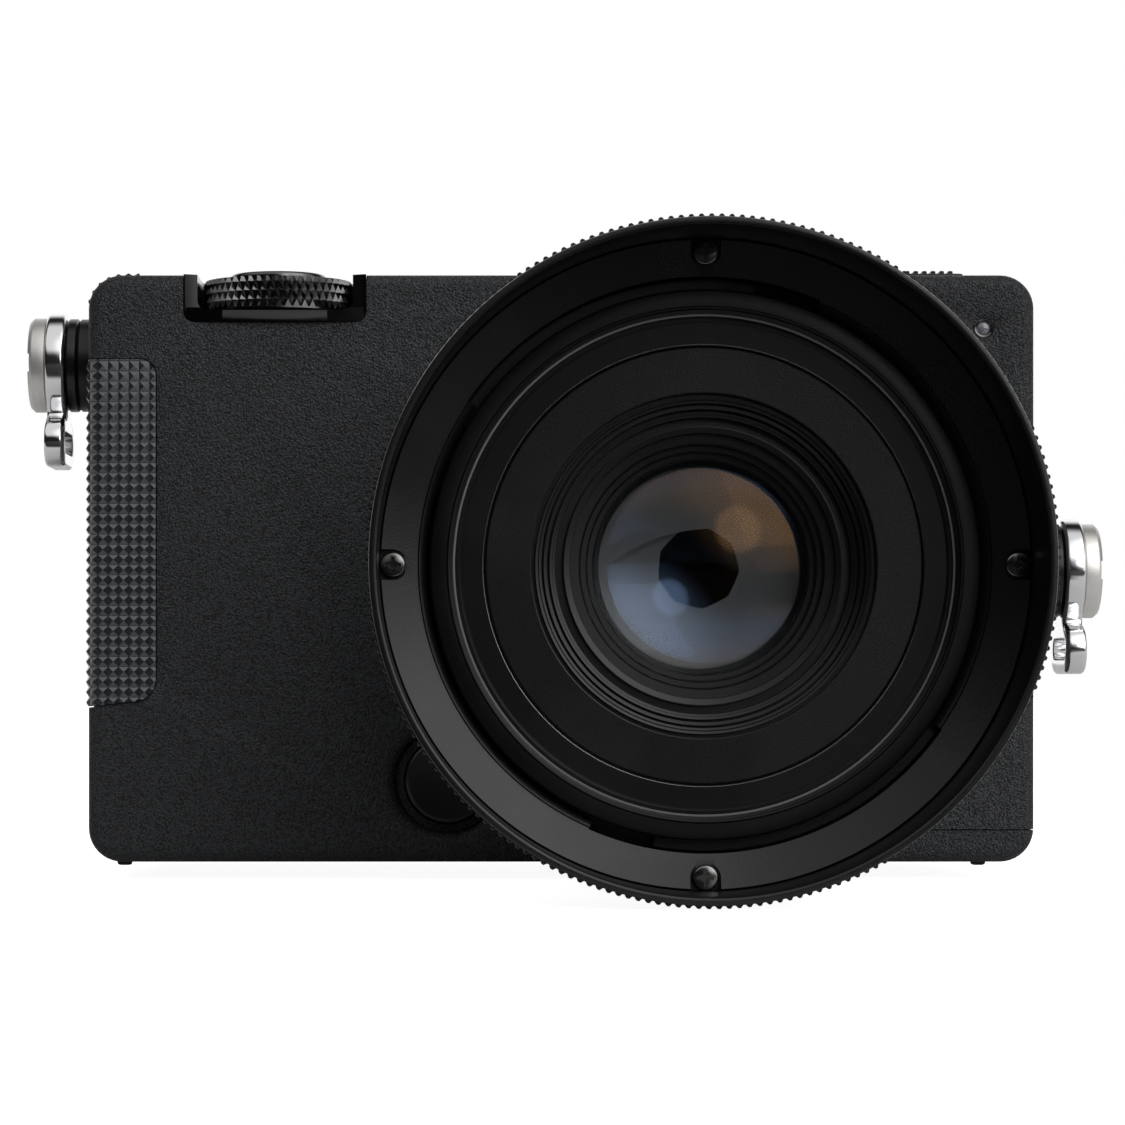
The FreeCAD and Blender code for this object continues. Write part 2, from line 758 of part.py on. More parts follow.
def strap_screws():
    """Coin screws whose slot is milled by a round cutter, deepest in the middle."""
    solids = []
    for side, z, washers in sides:
        head_start = stack(washers)[1]
        head_end = head_start + strap_head_thickness
        head = side_rod(side, strap_head_radius, head_start, head_end, z)
        x_side = x_left if side < 0 else x_right
        outer = plane_edges(head, 0, x_side + side * head_end)
        head = head.makeChamfer(0.5, outer)
        cutter_radius = 17.0
        cutter_x = x_side + side * (head_end - 1.1 + cutter_radius)
        cutter = rod(cutter_radius, (cutter_x, y_strap, z - 1.1), (0, 0, 1), 2.2)
        shank = side_rod(side, strap_shank_radius, -3.0, head_start + 0.1, z)
        solids.append(head.cut(cutter).fuse(shank))
    return Part.Compound(solids)


def eyelet(side, z, washers):
    """A thick plate: a ring round the screw, a narrow neck and a tab with the strap slot."""
    inner = stack(washers)[0]
    tab_half = 7.0
    slot_half = 5.0
    slot_z0 = -eyelet_drop + 1.9
    slot_z1 = slot_z0 + 2.6
    x_side = x_left if side < 0 else x_right
    xs = sorted((x_side + side * inner, x_side + side * (inner + eyelet_thickness)))
    ring_part = side_rod(side, eyelet_ring_radius, inner, inner + eyelet_thickness, z)
    tab = rounded_box(
        xs[0], xs[1], y_strap - tab_half, y_strap + tab_half, z - eyelet_drop, z - eyelet_drop + 6.4,
        2.0, (1, 0, 0))
    smooth = []
    for piece in (ring_part, tab):
        smooth.append(piece.makeFillet(0.45, plane_edges(piece, 0, xs[0]) + plane_edges(piece, 0, xs[1])))
    neck = box(xs[0] + 0.3, xs[1] - 0.3, y_strap - 4.0, y_strap + 4.0, z - 7.5, z - 4.0)
    plate = smooth[0].fuse([smooth[1], neck])
    slot = rounded_box(
        xs[0] - 1, xs[1] + 1, y_strap - slot_half, y_strap + slot_half, z + slot_z0, z + slot_z1,
        1.2, (1, 0, 0))
    hole = side_rod(side, strap_shank_radius + 0.07, inner - 1, inner + eyelet_thickness + 1, z)
    return plate.cut([slot, hole])


# Lens

def from_flange(distance):
    """The y of a place on the lens, from its mounting face."""
    return y_flange - distance


ring_gap = 0.2
aperture_start, aperture_end = 4.4, 12.6
focus_start, focus_end = 19.8, 35.0
shoulder = 40.4
aperture_core = lens_radius - 3.5
focus_core = lens_radius - 2.8
aperture_tip_radius = lens_radius - 0.2
focus_tip_radius = lens_radius + 0.5
name_ring_radius = 23.35
cone_step_count = 6
cone_top_radius = 18.46
cone_end_radius = 12.0
cone_depth = 5.8
baffle_back_radius = cone_top_radius + 1.5
baffle_room_radius = baffle_back_radius + 0.54
glass_radius = 12.6
glass_curve = 34.0
glass_centre_thickness = 1.6
rear_glass_radius = 14.05
y_iris = y_filter_floor + 10.9
y_cone_end = y_filter_floor + cone_depth
y_glass_vertex = y_cone_end - 1.4
y_glass_edge = y_glass_vertex + 2.42
band_middle = (aperture_end + focus_start) / 2
switch_half_slot = 4.6


def mount_ring():
    ring_part = ring(mount_radius, throat_radius, y_flange, y_front)
    spigot = ring(mount_spigot_radius, throat_radius, y_front - 0.1, y_front + mount_spigot_length)
    pieces = [spigot]
    y_tab = y_flange + mount_tab_front
    for number in range(bayonet_count):
        pieces.append(ring(
            throat_radius + 0.2, mount_tab_radius, y_tab, y_tab + mount_tab_thickness,
            bayonet_tab_angle, 120.0 * number + 30.0))
    pin_hole = lens_rod(lock_pin_radius + 0.1, y_flange - 1, y_front + 1, pin_x, pin_up)
    return ring_part.fuse(pieces).cut(pin_hole)


def lens_bayonet():
    flange = ring(30.0, 20.5, from_flange(1.6), y_flange)
    spigot = ring(mount_tab_radius - running_gap, 20.5, y_flange - 0.1, y_flange + 7.8)
    pieces = [spigot]
    y_tab = y_flange + mount_tab_front + mount_tab_thickness + 0.1
    for number in range(bayonet_count):
        pieces.append(ring(
            throat_radius - running_gap, mount_tab_radius - 0.5, y_tab, y_tab + 1.6,
            bayonet_tab_angle, 120.0 * number + 30.0))
    pin_hole = lens_rod(lock_pin_radius + 0.15, y_flange - 1.2, y_flange + 1, pin_x, pin_up)
    return flange.fuse(pieces).cut(pin_hole)


def lens_barrel():
    y_plate = y_iris + 1.0
    profile = [
        (lens_radius - 1.5, from_flange(1.65)), (lens_radius - 0.5, from_flange(aperture_start)),
        (aperture_core, from_flange(aperture_start)), (aperture_core, from_flange(aperture_end)),
        (lens_radius, from_flange(aperture_end)), (lens_radius, from_flange(focus_start)),
        (focus_core, from_flange(focus_start)), (focus_core, from_flange(focus_end)),
        (lens_radius, from_flange(focus_end)), (lens_radius, from_flange(shoulder - 0.8)),
        (lens_radius - 0.6, from_flange(shoulder)), (front_tube_radius, from_flange(shoulder)),
        (front_tube_radius, y_rim + 0.3), (front_tube_radius - 0.3, y_rim),
        (filter_radius, y_rim), (filter_radius, y_filter_floor),
        (name_ring_radius + 0.1, y_filter_floor), (name_ring_radius + 0.1, y_filter_floor + 1.25),
        (baffle_room_radius, y_filter_floor + 1.25), (baffle_room_radius, y_cone_end + 0.6),
        (glass_radius + seam, y_cone_end + 0.6), (glass_radius + seam, y_glass_edge + 1.75),
        (iris_window_radius, y_glass_edge + 1.75), (iris_window_radius, y_glass_edge + 2.15),
        (iris_room_radius, y_glass_edge + 2.15), (iris_room_radius, y_iris),
        (iris_open_radius - 0.1, y_iris), (iris_open_radius - 0.1, y_plate),
        (16.0, y_plate), (16.0, from_flange(9.0)),
        (rear_glass_radius + seam, from_flange(9.0)), (rear_glass_radius + seam, from_flange(4.5)),
        (17.0, from_flange(4.5)), (17.0, from_flange(1.65)),
    ]
    barrel = turned(profile)
    tabs = []
    for centre in hood_hook_centres:
        tabs.append(ring(
            tube_tab_radius, front_tube_radius - 0.3, from_flange(43.4), from_flange(42.1),
            70.0, centre - 35.0))
    barrel = barrel.fuse(tabs)
    y_mid = from_flange(band_middle)
    cuts = [box(
        lens_radius - 1.6, lens_radius + 1, y_mid - 2.6, y_mid + 2.6,
        axis_height - switch_half_slot, axis_height + switch_half_slot)]
    for number in range(blade_count):
        x, up = blade_pivot(number)
        cuts.append(lens_rod(blade_pin_radius + 0.05, y_iris - 0.1, y_plate + 0.1, x, up))
    return barrel.cut(cuts)


def focus_switch():
    y_mid = from_flange(band_middle)
    knob = rounded_box(
        lens_radius - 1.4, lens_radius + 0.8, y_mid - 2.3, y_mid + 2.3,
        axis_height - 1.2, axis_height + switch_half_slot - 0.3, 0.6, (1, 0, 0))
    groove = box(lens_radius + 0.4, lens_radius + 2, y_mid - 3, y_mid + 3, axis_height + 1.2, axis_height + 1.9)
    return knob.cut(groove)


def grip_ring(core, tip, tooth, teeth, start, end, rim):
    """A turning ring: straight knurl between two plain rims."""
    y0 = from_flange(end - ring_gap)
    y1 = from_flange(start + ring_gap)
    knurl = toothed(tip, tip - tooth, teeth, (0, y0 + rim, axis_height), (0, 1, 0), y1 - y0 - 2 * rim)
    bore = core + running_gap
    knurl = knurl.cut(lens_rod(bore + 0.5, y0 - 1, y1 + 1))
    sleeve = turned([
        (bore, y0), (tip - tooth - 0.4, y0), (tip - tooth, y0 + 0.4), (tip - tooth, y0 + rim),
        (tip - tooth - 0.3, y0 + rim), (tip - tooth - 0.3, y1 - rim), (tip - tooth, y1 - rim),
        (tip - tooth, y1 - 0.4), (tip - tooth - 0.4, y1), (bore, y1)])
    return knurl.fuse(sleeve)


def front_baffle():
    """The flat front ring and its cone of light-trap steps, which get deeper towards the glass."""
    radii = [cone_top_radius - step * (cone_top_radius - cone_end_radius) / cone_step_count
             for step in range(cone_step_count + 1)]
    depths = [y_filter_floor + cone_depth * (step / cone_step_count) ** 2.6
              for step in range(cone_step_count + 1)]
    profile = [(name_ring_radius, y_filter_floor + 1.2), (name_ring_radius, y_filter_floor)]
    for step in range(cone_step_count):
        profile += [(radii[step + 1], depths[step]), (radii[step + 1], depths[step + 1])]
    y_end = y_cone_end + 0.35
    profile += [
        (cone_end_radius, y_end), (cone_end_radius + 2.5, y_end),
        (baffle_back_radius, y_filter_floor + 1.6), (baffle_back_radius, y_filter_floor + 1.2)]
    return turned(profile)


def meniscus(radius, y_vertex, curve, thickness):
    """A shell of glass between two equal spheres, bulging to the front."""
    y_far = y_vertex + thickness + radius
    blank = lens_rod(radius, y_vertex - 0.5, y_far)
    outer = Part.makeSphere(curve, Vec(0, y_vertex + curve, axis_height))
    inner = Part.makeSphere(curve, Vec(0, y_vertex + thickness + curve, axis_height))
    return blank.common(outer).cut(inner)


def blade_pivot(number):
    turn = radians(iris_phase + 360.0 * number / blade_count)
    return blade_pivot_circle * cos(turn), blade_pivot_circle * sin(turn)


def iris_blade(number):
    """A crescent on an arm, with an eye and a pin. Each blade has its own level, so that they pass freely.

    It is drawn wide open. The opening then stays outside one large circle, whose centre swings about the
    pivot and carries the inner edge across the lens axis as the blade closes.
    """
    y1 = y_iris - 0.15 - number * blade_pitch
    y0 = y1 - blade_thickness
    centre_distance = blade_edge_radius - iris_open_radius
    tilt = acos((blade_pivot_circle ** 2 + blade_swing ** 2 - centre_distance ** 2)
                / (2 * blade_pivot_circle * blade_swing))
    x_edge = blade_pivot_circle - blade_swing * cos(tilt)
    up_edge = -blade_swing * sin(tilt)
    blade = lens_rod(blade_reach, y0, y1)
    blade = blade.cut(lens_rod(blade_edge_radius, y0 - 1, y1 + 1, x_edge, up_edge))
    blade = blade.common(lens_rod(blade_trim, y0 - 1, y1 + 1, blade_pivot_circle, 0))
    half_arm = blade_arm_width / 2
    root_radius = blade_reach - half_arm
    root_turn = radians(blade_root_turn)
    x_root = root_radius * cos(root_turn)
    up_root = root_radius * sin(root_turn)
    arm_length = hypot(x_root - blade_pivot_circle, up_root)
    arm = box(blade_pivot_circle, blade_pivot_circle + arm_length, y0, y1,
              axis_height - half_arm, axis_height + half_arm)
    arm.rotate(Vec(blade_pivot_circle, 0, axis_height), Vec(0, -1, 0),
               degrees(atan2(up_root, x_root - blade_pivot_circle)))
    blade = blade.fuse([
        arm,
        lens_rod(half_arm, y0, y1, x_root, up_root),
        lens_rod(blade_eye_radius, y0, y1, blade_pivot_circle, 0),
    ]).removeSplitter()
    blade = blade.fuse(lens_rod(blade_pin_radius, y1 - 0.02, y_iris + 0.8, blade_pivot_circle, 0))
    blade.rotate(Vec(blade_pivot_circle, 0, axis_height), Vec(0, -1, 0), blade_rest_turn)
    blade.rotate(Vec(0, 0, axis_height), Vec(0, -1, 0), iris_phase + 360.0 * number / blade_count)
    return blade


# Hood

y_hood_flange = y_hood_front + hood_flange_depth
flange_rear = 1.3
y_hood_end = from_flange(shoulder) - 0.6


def cone_y(radius):
    """The y of the hood flange's front at one radius."""
    share = (hood_bore_radius - radius) / (hood_bore_radius - hood_hole_radius)
    return y_hood_flange + share * hood_flange_dish


def hood_ring():
    bore = hood_bore_radius
    ledge = bayonet_tube_radius + 0.1
    shank_radius = hood_tip_radius - hood_tooth_depth
    y_knurl = y_hood_front + 0.8
    sleeve = turned([
        (bore, y_hood_front + 0.25), (bore + 0.15, y_hood_front), (shank_radius - 0.3, y_hood_front),
        (shank_radius, y_hood_front + 0.3), (shank_radius, y_knurl),
        (shank_radius - 0.2, y_knurl), (shank_radius - 0.2, y_hood_end - 4.0),
        (ledge + 1.4, y_hood_end),
        (ledge, y_hood_end), (ledge, cone_y(ledge) + flange_rear + seam),
        (bore, y_hood_flange + flange_rear + seam)])
    knurl = toothed(
        hood_tip_radius, shank_radius, hood_teeth, (0, y_knurl, axis_height), (0, 1, 0), hood_knurl_width)
    knurl = knurl.cut(lens_rod(bore + 0.3, y_knurl - 1, y_knurl + hood_knurl_width + 1))
    holes = [lens_rod(0.85, y_hood_flange, screw_end, x, up) for x, up in hood_screw_places()]
    return sleeve.fuse(knurl).cut(holes)


def hood_screw_places():
    return [(hood_screw_circle * cos(pi * n / 2), hood_screw_circle * sin(pi * n / 2)) for n in range(4)]


screw_seat = y_hood_flange + 1.2
screw_end = y_hood_flange + 3.6
hook_y1 = y_hood_end
hook_y0 = y_hood_end - 0.85


def hood_flange():
    outer = hood_bore_radius - 0.08
    inner_tube = tube_tab_radius + 0.35
    rear = from_flange(43.4) - 0.3
    plate = turned([
        (outer, y_hood_flange), (hood_hole_radius, cone_y(hood_hole_radius)), (hood_hole_radius, rear),
        (inner_tube, rear), (inner_tube, hook_y1), (bayonet_tube_radius, hook_y1),
        (bayonet_tube_radius, cone_y(bayonet_tube_radius) + flange_rear), (outer, y_hood_flange + flange_rear)])
    hooks = []
    reliefs = []
    for centre in hood_hook_centres:
        start = centre - hood_hook_angle / 2
        hooks.append(ring(inner_tube + 0.1, front_tube_radius + 0.4, hook_y0, hook_y1, hood_hook_angle, start))
        reliefs.append(ring(
            hood_hole_radius + 1.1, hood_hole_radius - 1, y_hood_flange, rear + 0.01, hood_hook_angle, start))
    cuts = reliefs
    for number, (x, up) in enumerate(hood_screw_places()):
        pocket = box(
            hood_screw_circle, hood_bore_radius + 1, y_hood_flange - 2, screw_seat,
            axis_height - hood_screw_radius - 0.25, axis_height + hood_screw_radius + 0.25)
        pocket.rotate(Vec(0, 0, axis_height), Vec(0, -1, 0), 90.0 * number)
        cuts.append(pocket)
        cuts.append(lens_rod(hood_screw_radius + 0.25, y_hood_flange - 2, screw_seat, x, up))
        cuts.append(lens_rod(0.85, screw_seat - 1, screw_end, x, up))
    return plate.fuse(hooks).cut(cuts)


def hood_screws():
    solids = []
    for x, up in hood_screw_places():
        head = lens_rod(hood_screw_radius, screw_seat - 0.95, screw_seat, x, up)
        socket = lens_rod(0.55, screw_seat - 2, screw_seat - 0.35, x, up)
        shank = lens_rod(0.8, screw_seat - 0.1, screw_end - 0.1, x, up)
        solids.append(head.cut(socket).fuse(shank))
    return Part.Compound(solids)


def lamp():
    return rod(lamp_radius, (lamp_x, y_front + 0.2, lamp_z), (0, 1, 0), 3.0)


def quick_button():
    y0, y1 = small_button_y()
    return rod(quick_radius, (quick_place[0], y0, quick_place[1]), (0, 1, 0), y1 - y0)


def build():
    nodes = {
        "front_shell": front_shell(),
        "back_cover": back_cover(),
        "base_panel": base_panel(),
        "heat_sink": heat_sink(),
        "screen_frame": screen_frame(),
        "screen_glass": screen_glass(),
        "main_board": main_board(),
        "image_sensor": image_sensor(),
        "mount_ring": mount_ring(),
        "focus_lamp": lamp(),
        "grip_rubber": rubber(grip_region(0)),
        "thumb_rubber": rubber(thumb_region(0)),
        "dial_seat": dial_seat(),
        "battery": battery(),
        "memory_card": memory_card(),
        "tripod_bush": tripod_bush(),
        "feet": foot_rods(foot_radius),
        "port_sockets": port_sockets(),
        "strap_sockets": strap_sockets(),
        "strap_washers": strap_washers(),
        "strap_screws": strap_screws(),
        "release_button": release_button(),
        "lock_pin": lock_pin(),
        "shutter_button": shutter_button(),
        "front_dial": front_dial(),
        "power_switch": power_slider.solid(),
        "mode_switch": mode_slider.solid(),
        "record_button": record_button(),
        "rear_dial": rear_dial(),
        "select_button": select_button(),
        "quick_button": quick_button(),
        "port_door": port_door(),
        "battery_door": battery_door(),
        "battery_latch": battery_latch(),
        "eyelet_left": eyelet(*sides[0]),
        "eyelet_right": eyelet(*sides[1]),
        "lens_bayonet": lens_bayonet(),
        "lens_barrel": lens_barrel(),
        "front_baffle": front_baffle(),
        "front_glass": meniscus(glass_radius, y_glass_vertex, glass_curve, glass_centre_thickness),
        "rear_glass": meniscus(rear_glass_radius, from_flange(8.9), 60.0, 2.4),
        "aperture_ring": grip_ring(
            aperture_core, aperture_tip_radius, 0.35, 72, aperture_start, aperture_end, 1.0),
        "focus_ring": grip_ring(focus_core, focus_tip_radius, 0.4, 96, focus_start, focus_end, 1.6),
        "focus_switch": focus_switch(),
        "hood_ring": hood_ring(),
        "hood_flange": hood_flange(),
        "hood_screws": hood_screws(),
    }
    for name, x in row_places.items():
        nodes[name] = row_shape(x, 0, *small_button_y())
    for number in range(blade_count):
        nodes["iris_blade_%d" % (number + 1)] = iris_blade(number)
    return nodes


os.makedirs("parts", exist_ok=True)
for name, shape in build().items():
    shape.exportStep("parts/%s.step" % name)
    size = shape.BoundBox
    print("%-15s %d solids %9.2f mm3 %s  x %.1f %.1f  y %.1f %.1f  z %.1f %.1f" % (
        name, len(shape.Solids), shape.Volume, "valid" if shape.isValid() else "NOT VALID",
        size.XMin, size.XMax, size.YMin, size.YMax, size.ZMin, size.ZMax))
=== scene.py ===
# %% [markdown]
# A flat, box-shaped mirrorless camera with a short prime lens and a wide metal hood.
#
# The engineering model is packed first, and this notebook dresses it. Loading it gives a fixed frame in
# metres: +Z is up, the lens looks along -Y and the grip is at -X. Every new piece is put straight into that
# frame, so nothing has to be fitted by eye. The box of the bare model is kept here, because the looks must not
# change the size.

# %% Load the frame
import json
from math import cos, hypot, pi, radians, sin, sqrt

import bmesh
import bpy
from mathutils import Matrix, Vector

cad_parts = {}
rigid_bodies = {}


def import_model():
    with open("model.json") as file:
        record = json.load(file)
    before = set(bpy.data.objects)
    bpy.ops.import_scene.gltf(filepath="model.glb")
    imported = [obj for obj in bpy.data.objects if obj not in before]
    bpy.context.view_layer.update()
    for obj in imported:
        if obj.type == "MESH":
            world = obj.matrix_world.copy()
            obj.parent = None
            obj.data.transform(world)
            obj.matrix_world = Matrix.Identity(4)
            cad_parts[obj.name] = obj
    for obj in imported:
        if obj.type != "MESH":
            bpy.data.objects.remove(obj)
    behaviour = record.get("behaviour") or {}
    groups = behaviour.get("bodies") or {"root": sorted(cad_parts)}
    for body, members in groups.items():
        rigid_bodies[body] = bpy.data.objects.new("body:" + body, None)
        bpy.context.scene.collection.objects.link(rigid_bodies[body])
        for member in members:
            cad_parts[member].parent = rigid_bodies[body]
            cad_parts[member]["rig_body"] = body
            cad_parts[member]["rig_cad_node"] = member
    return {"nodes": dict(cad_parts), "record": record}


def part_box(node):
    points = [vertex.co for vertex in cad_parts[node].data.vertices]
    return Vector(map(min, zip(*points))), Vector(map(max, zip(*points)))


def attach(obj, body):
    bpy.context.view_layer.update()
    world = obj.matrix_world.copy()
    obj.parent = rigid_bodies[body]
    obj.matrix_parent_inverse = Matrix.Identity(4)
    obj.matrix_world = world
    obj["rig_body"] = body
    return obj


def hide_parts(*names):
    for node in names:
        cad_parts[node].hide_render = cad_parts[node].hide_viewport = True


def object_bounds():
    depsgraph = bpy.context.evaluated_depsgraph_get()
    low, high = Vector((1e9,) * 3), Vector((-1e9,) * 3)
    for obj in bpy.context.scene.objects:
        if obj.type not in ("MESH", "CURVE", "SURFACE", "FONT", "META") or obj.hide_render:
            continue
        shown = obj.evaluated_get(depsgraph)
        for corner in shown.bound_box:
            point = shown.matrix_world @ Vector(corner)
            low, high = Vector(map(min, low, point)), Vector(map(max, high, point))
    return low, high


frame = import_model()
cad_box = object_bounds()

slot_of = {entry["node"]: entry["material_slot"] for entry in frame["record"]["subparts"]}

# %% [markdown]
# The product photograph was taken square to the front, from a little below the middle and to the left, and
# the print was framed off centre. A level camera with a small lens shift repeats that without any tilt.
# The ring centres of the lens drift apart in the picture, which tells how near the camera stood.

# %% The camera
MM = 0.001
HAIR = 1e-6  # a thousandth of a millimetre
shell_low, shell_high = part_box("front_shell")
camera_distance = 470 * MM
eye = Vector((-26.1 * MM, shell_low.y - camera_distance, 21.75 * MM))

bpy.ops.object.select_all(action="DESELECT")
bpy.ops.object.camera_add(location=eye, rotation=(pi / 2, 0, 0))
camera = bpy.context.object
camera.data.lens = 126.56
camera.data.sensor_width = 36.0
camera.data.shift_x = 0.0915
camera.data.shift_y = 0.1038
camera.data.clip_start = 0.01
bpy.context.scene.camera = camera
bpy.context.scene.view_settings.view_transform = "Standard"
print("camera stands", round(camera_distance / MM), "mm in front of the body")

# %% [markdown]
# Small helpers keep the modelling steps readable. Each one does what a hand would do: deselect, add a
# primitive, go into edit mode, pick faces or edges by their place, and apply a modifier when it is right.

# %% Modelling helpers
def only(piece):
    bpy.ops.object.select_all(action="DESELECT")
    piece.select_set(True)
    bpy.context.view_layer.objects.active = piece


def start(name, add, **options):
    """Add a primitive with nothing else selected, and give it its name."""
    bpy.ops.object.select_all(action="DESELECT")
    add(**options)
    piece = bpy.context.object
    piece.name = name
    piece.data.name = name
    return piece


def block(name, low, high):
    """A box between two corners given in millimetres, with its place in its mesh."""
    low, high = Vector(low) * MM, Vector(high) * MM
    piece = start(name, bpy.ops.mesh.primitive_cube_add, size=1, location=(low + high) / 2, scale=high - low)
    bpy.ops.object.transform_apply(location=True, rotation=True, scale=True)
    return piece


TURNS = {"X": (0, pi / 2, 0), "Y": (-pi / 2, 0, 0), "Z": (0, 0, 0)}


def rod(name, radius, middle, along, length, sides=64):
    """A cylinder along X, Y or Z round a middle point, in millimetres."""
    piece = start(
        name, bpy.ops.mesh.primitive_cylinder_add, radius=radius * MM, depth=length * MM, vertices=sides,
        location=Vector(middle) * MM, rotation=TURNS[along])
    bpy.ops.object.transform_apply(location=True, rotation=True, scale=True)
    return piece


def pick(piece, kind, test):
    """In edit mode, select the verts, edges or faces that pass a test, and count them."""
    sketch = bmesh.from_edit_mesh(piece.data)
    bpy.ops.mesh.select_all(action="DESELECT")
    chosen = [item for item in getattr(sketch, kind) if test(item)]
    for item in chosen:
        item.select_set(True)
    sketch.select_flush_mode()
    bmesh.update_edit_mesh(piece.data)
    return len(chosen)


def edit(piece, mode):
    only(piece)
    bpy.ops.object.mode_set(mode="EDIT")
    bpy.ops.mesh.select_mode(type=mode)


def everything():
    bpy.ops.mesh.select_all(action="SELECT")


def extrude(step):
    """Pull a copy of what is selected away by a step in metres."""
    bpy.ops.mesh.extrude_region_move(TRANSFORM_OT_translate={"value": step})


def face_out():
    everything()
    bpy.ops.mesh.normals_make_consistent(inside=False)


def done():
    bpy.ops.object.mode_set(mode="OBJECT")


def close_up(threshold=HAIR):
    """Merge doubled vertices, turn every face outwards and leave edit mode."""
    everything()
    bpy.ops.mesh.remove_doubles(threshold=threshold)
    face_out()
    done()


print("steps of hand work are ready")

# %% [markdown]
# Sharp edges show at once that a thing is made by a computer. So some edges are rounded one by one, picked by
# their direction, and at the end a modifier breaks all the others. Holes are cut with other closed pieces.

# %% Rounding and cutting
def runs_along(edge, axis):
    """Whether an edge runs along X, Y or Z (0, 1 or 2)."""
    step = edge.verts[1].co - edge.verts[0].co
    return abs(step[axis]) > 0.999 * step.length


def bevel_edges(piece, test, width, segments):
    edit(piece, "EDGE")
    if pick(piece, "edges", test):
        bpy.ops.mesh.bevel(offset=width * MM, segments=segments, affect="EDGES", clamp_overlap=False)
    done()


def round_edges(piece, axis, radius, segments):
    """Round the edges that run along one axis."""
    bevel_edges(piece, lambda edge: runs_along(edge, axis), radius, segments)


def apply_modifier(piece, kind, **values):
    only(piece)
    bpy.ops.object.modifier_add(type=kind)
    modifier = piece.modifiers[-1]
    for key, value in values.items():
        setattr(modifier, key, value)
    bpy.ops.object.modifier_apply(modifier=modifier.name)


def combine(piece, other, operation):
    """Cut, join or keep what two closed pieces share, and throw the second one away."""
    apply_modifier(piece, "BOOLEAN", operation=operation, solver="EXACT", object=other)
    bpy.data.objects.remove(other)


def cut(piece, *others):
    for other in others:
        combine(piece, other, "DIFFERENCE")


def soften(piece, width, angle=35, segments=2):
    """Break every sharp edge by a small bevel that catches the light, and shade smoothly between them."""
    only(piece)
    bpy.ops.object.shade_smooth()
    apply_modifier(
        piece, "BEVEL", width=width * MM, segments=segments, limit_method="ANGLE", angle_limit=radians(angle),
        harden_normals=True, miter_outer="MITER_ARC", use_clamp_overlap=True)


def smooth(piece, angle):
    only(piece)
    bpy.ops.object.shade_smooth_by_angle(angle=radians(angle))


print("tools for edges and holes are ready")

# %% [markdown]
# Most of a lens is turned. An outline is drawn from one vertex, extruded from point to point as with a pencil,
# and then spun round its axis. The frame tells how high the lens axis lies.

# %% Outlines and turned pieces
axis_z = (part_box("mount_ring")[0].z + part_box("mount_ring")[1].z) / 2 / MM
ROUND = {
    "X": ((0, 1, 0), (1, 0, 0)),
    "Y": ((1, 0, 0), (0, 1, 0)),
    "Z": ((1, 0, 0), (0, 0, 1)),
}


def first_vertex(name):
    """One vertex at the origin, in edit mode, from which an outline is drawn."""
    piece = start(name, bpy.ops.mesh.primitive_plane_add, size=MM)
    edit(piece, "VERT")
    everything()
    bpy.ops.mesh.merge(type="CENTER")
    return piece


def trace(points):
    """Move the vertex to the first point, then extrude it to each of the others, in millimetres."""
    here = Vector()
    for number, point in enumerate(points):
        there = point * MM
        if number == 0:
            bpy.ops.transform.translate(value=there)
        else:
            bpy.ops.mesh.extrude_vertices_move(TRANSFORM_OT_translate={"value": there - here})
        here = there


def lathe(name, outline, steps=180, along="Y", centre=(0, 0, None), closed=True):
    """Draw an outline of (radius, place along the axis) points by extruding one vertex, then spin it."""
    centre = Vector((centre[0], centre[1], axis_z if centre[2] is None else centre[2]))
    outward, axis = (Vector(v) for v in ROUND[along])
    middle = centre - axis * centre.dot(axis)
    piece = first_vertex(name)
    trace([middle + outward * radius + axis * place for radius, place in outline])
    if closed:
        last = len(outline) - 1
        pick(piece, "verts", lambda vertex: vertex.index in (0, last))
        bpy.ops.mesh.edge_face_add()
    everything()
    bpy.ops.mesh.spin(steps=steps, angle=2 * pi, center=middle * MM, axis=axis)
    close_up()
    return piece


def quarter(radius, middle, from_turn, to_turn, steps):
    """Points of an arc for an outline; turns are in degrees, 0 points outwards and 90 along the axis."""
    points = []
    for number in range(steps + 1):
        turn = radians(from_turn + (to_turn - from_turn) * number / steps)
        points.append((middle[0] + radius * cos(turn), middle[1] + radius * sin(turn)))
    return points


def outline_at(radius, place, *points):
    """Points of an outline, given from one radius and one place."""
    return [(radius + out, place + along) for out, along in points]


print("lens axis is", round(axis_z, 2), "mm above the base")

# %% [markdown]
# Where the engineering model already has the right shape, a copy is dressed. Its loose triangles are merged
# first, so that its edges can be broken. Each finished piece then gets its material and the body that it
# moves with, and the node that it stands for is hidden.

# %% Copies, bodies and materials
def copy_of(node):
    """A merged copy of a loose model node, with its flat faces joined up again."""
    piece = frame["nodes"][node].copy()
    piece.data = piece.data.copy()
    piece.name = node + "_finish"
    piece.data.name = piece.name
    piece.parent = None
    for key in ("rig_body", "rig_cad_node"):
        if key in piece:
            del piece[key]
    bpy.context.scene.collection.objects.link(piece)
    edit(piece, "VERT")
    everything()
    bpy.ops.mesh.customdata_custom_splitnormals_clear()
    bpy.ops.mesh.remove_doubles(threshold=HAIR)
    bpy.ops.mesh.dissolve_limited(angle_limit=radians(0.5))
    done()
    return piece


def fit(piece, body, finish, *nodes, slot=None):
    """Give a piece its material and its body, and hide the nodes that it stands for. The slot is not used."""
    piece.data.materials.clear()
    piece.data.materials.append(finish)
    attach(piece, body)
    if nodes:
        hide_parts(*nodes)
    print(piece.name, "faces", len(piece.data.polygons))
    return piece


def dressed_copy(name, body, finish, width, segments=1):
    """A copy of a node whose shape is right, with its edges broken and a better finish."""
    piece = copy_of(name)
    soften(piece, width, 40, segments)
    return fit(piece, body, finish, name)


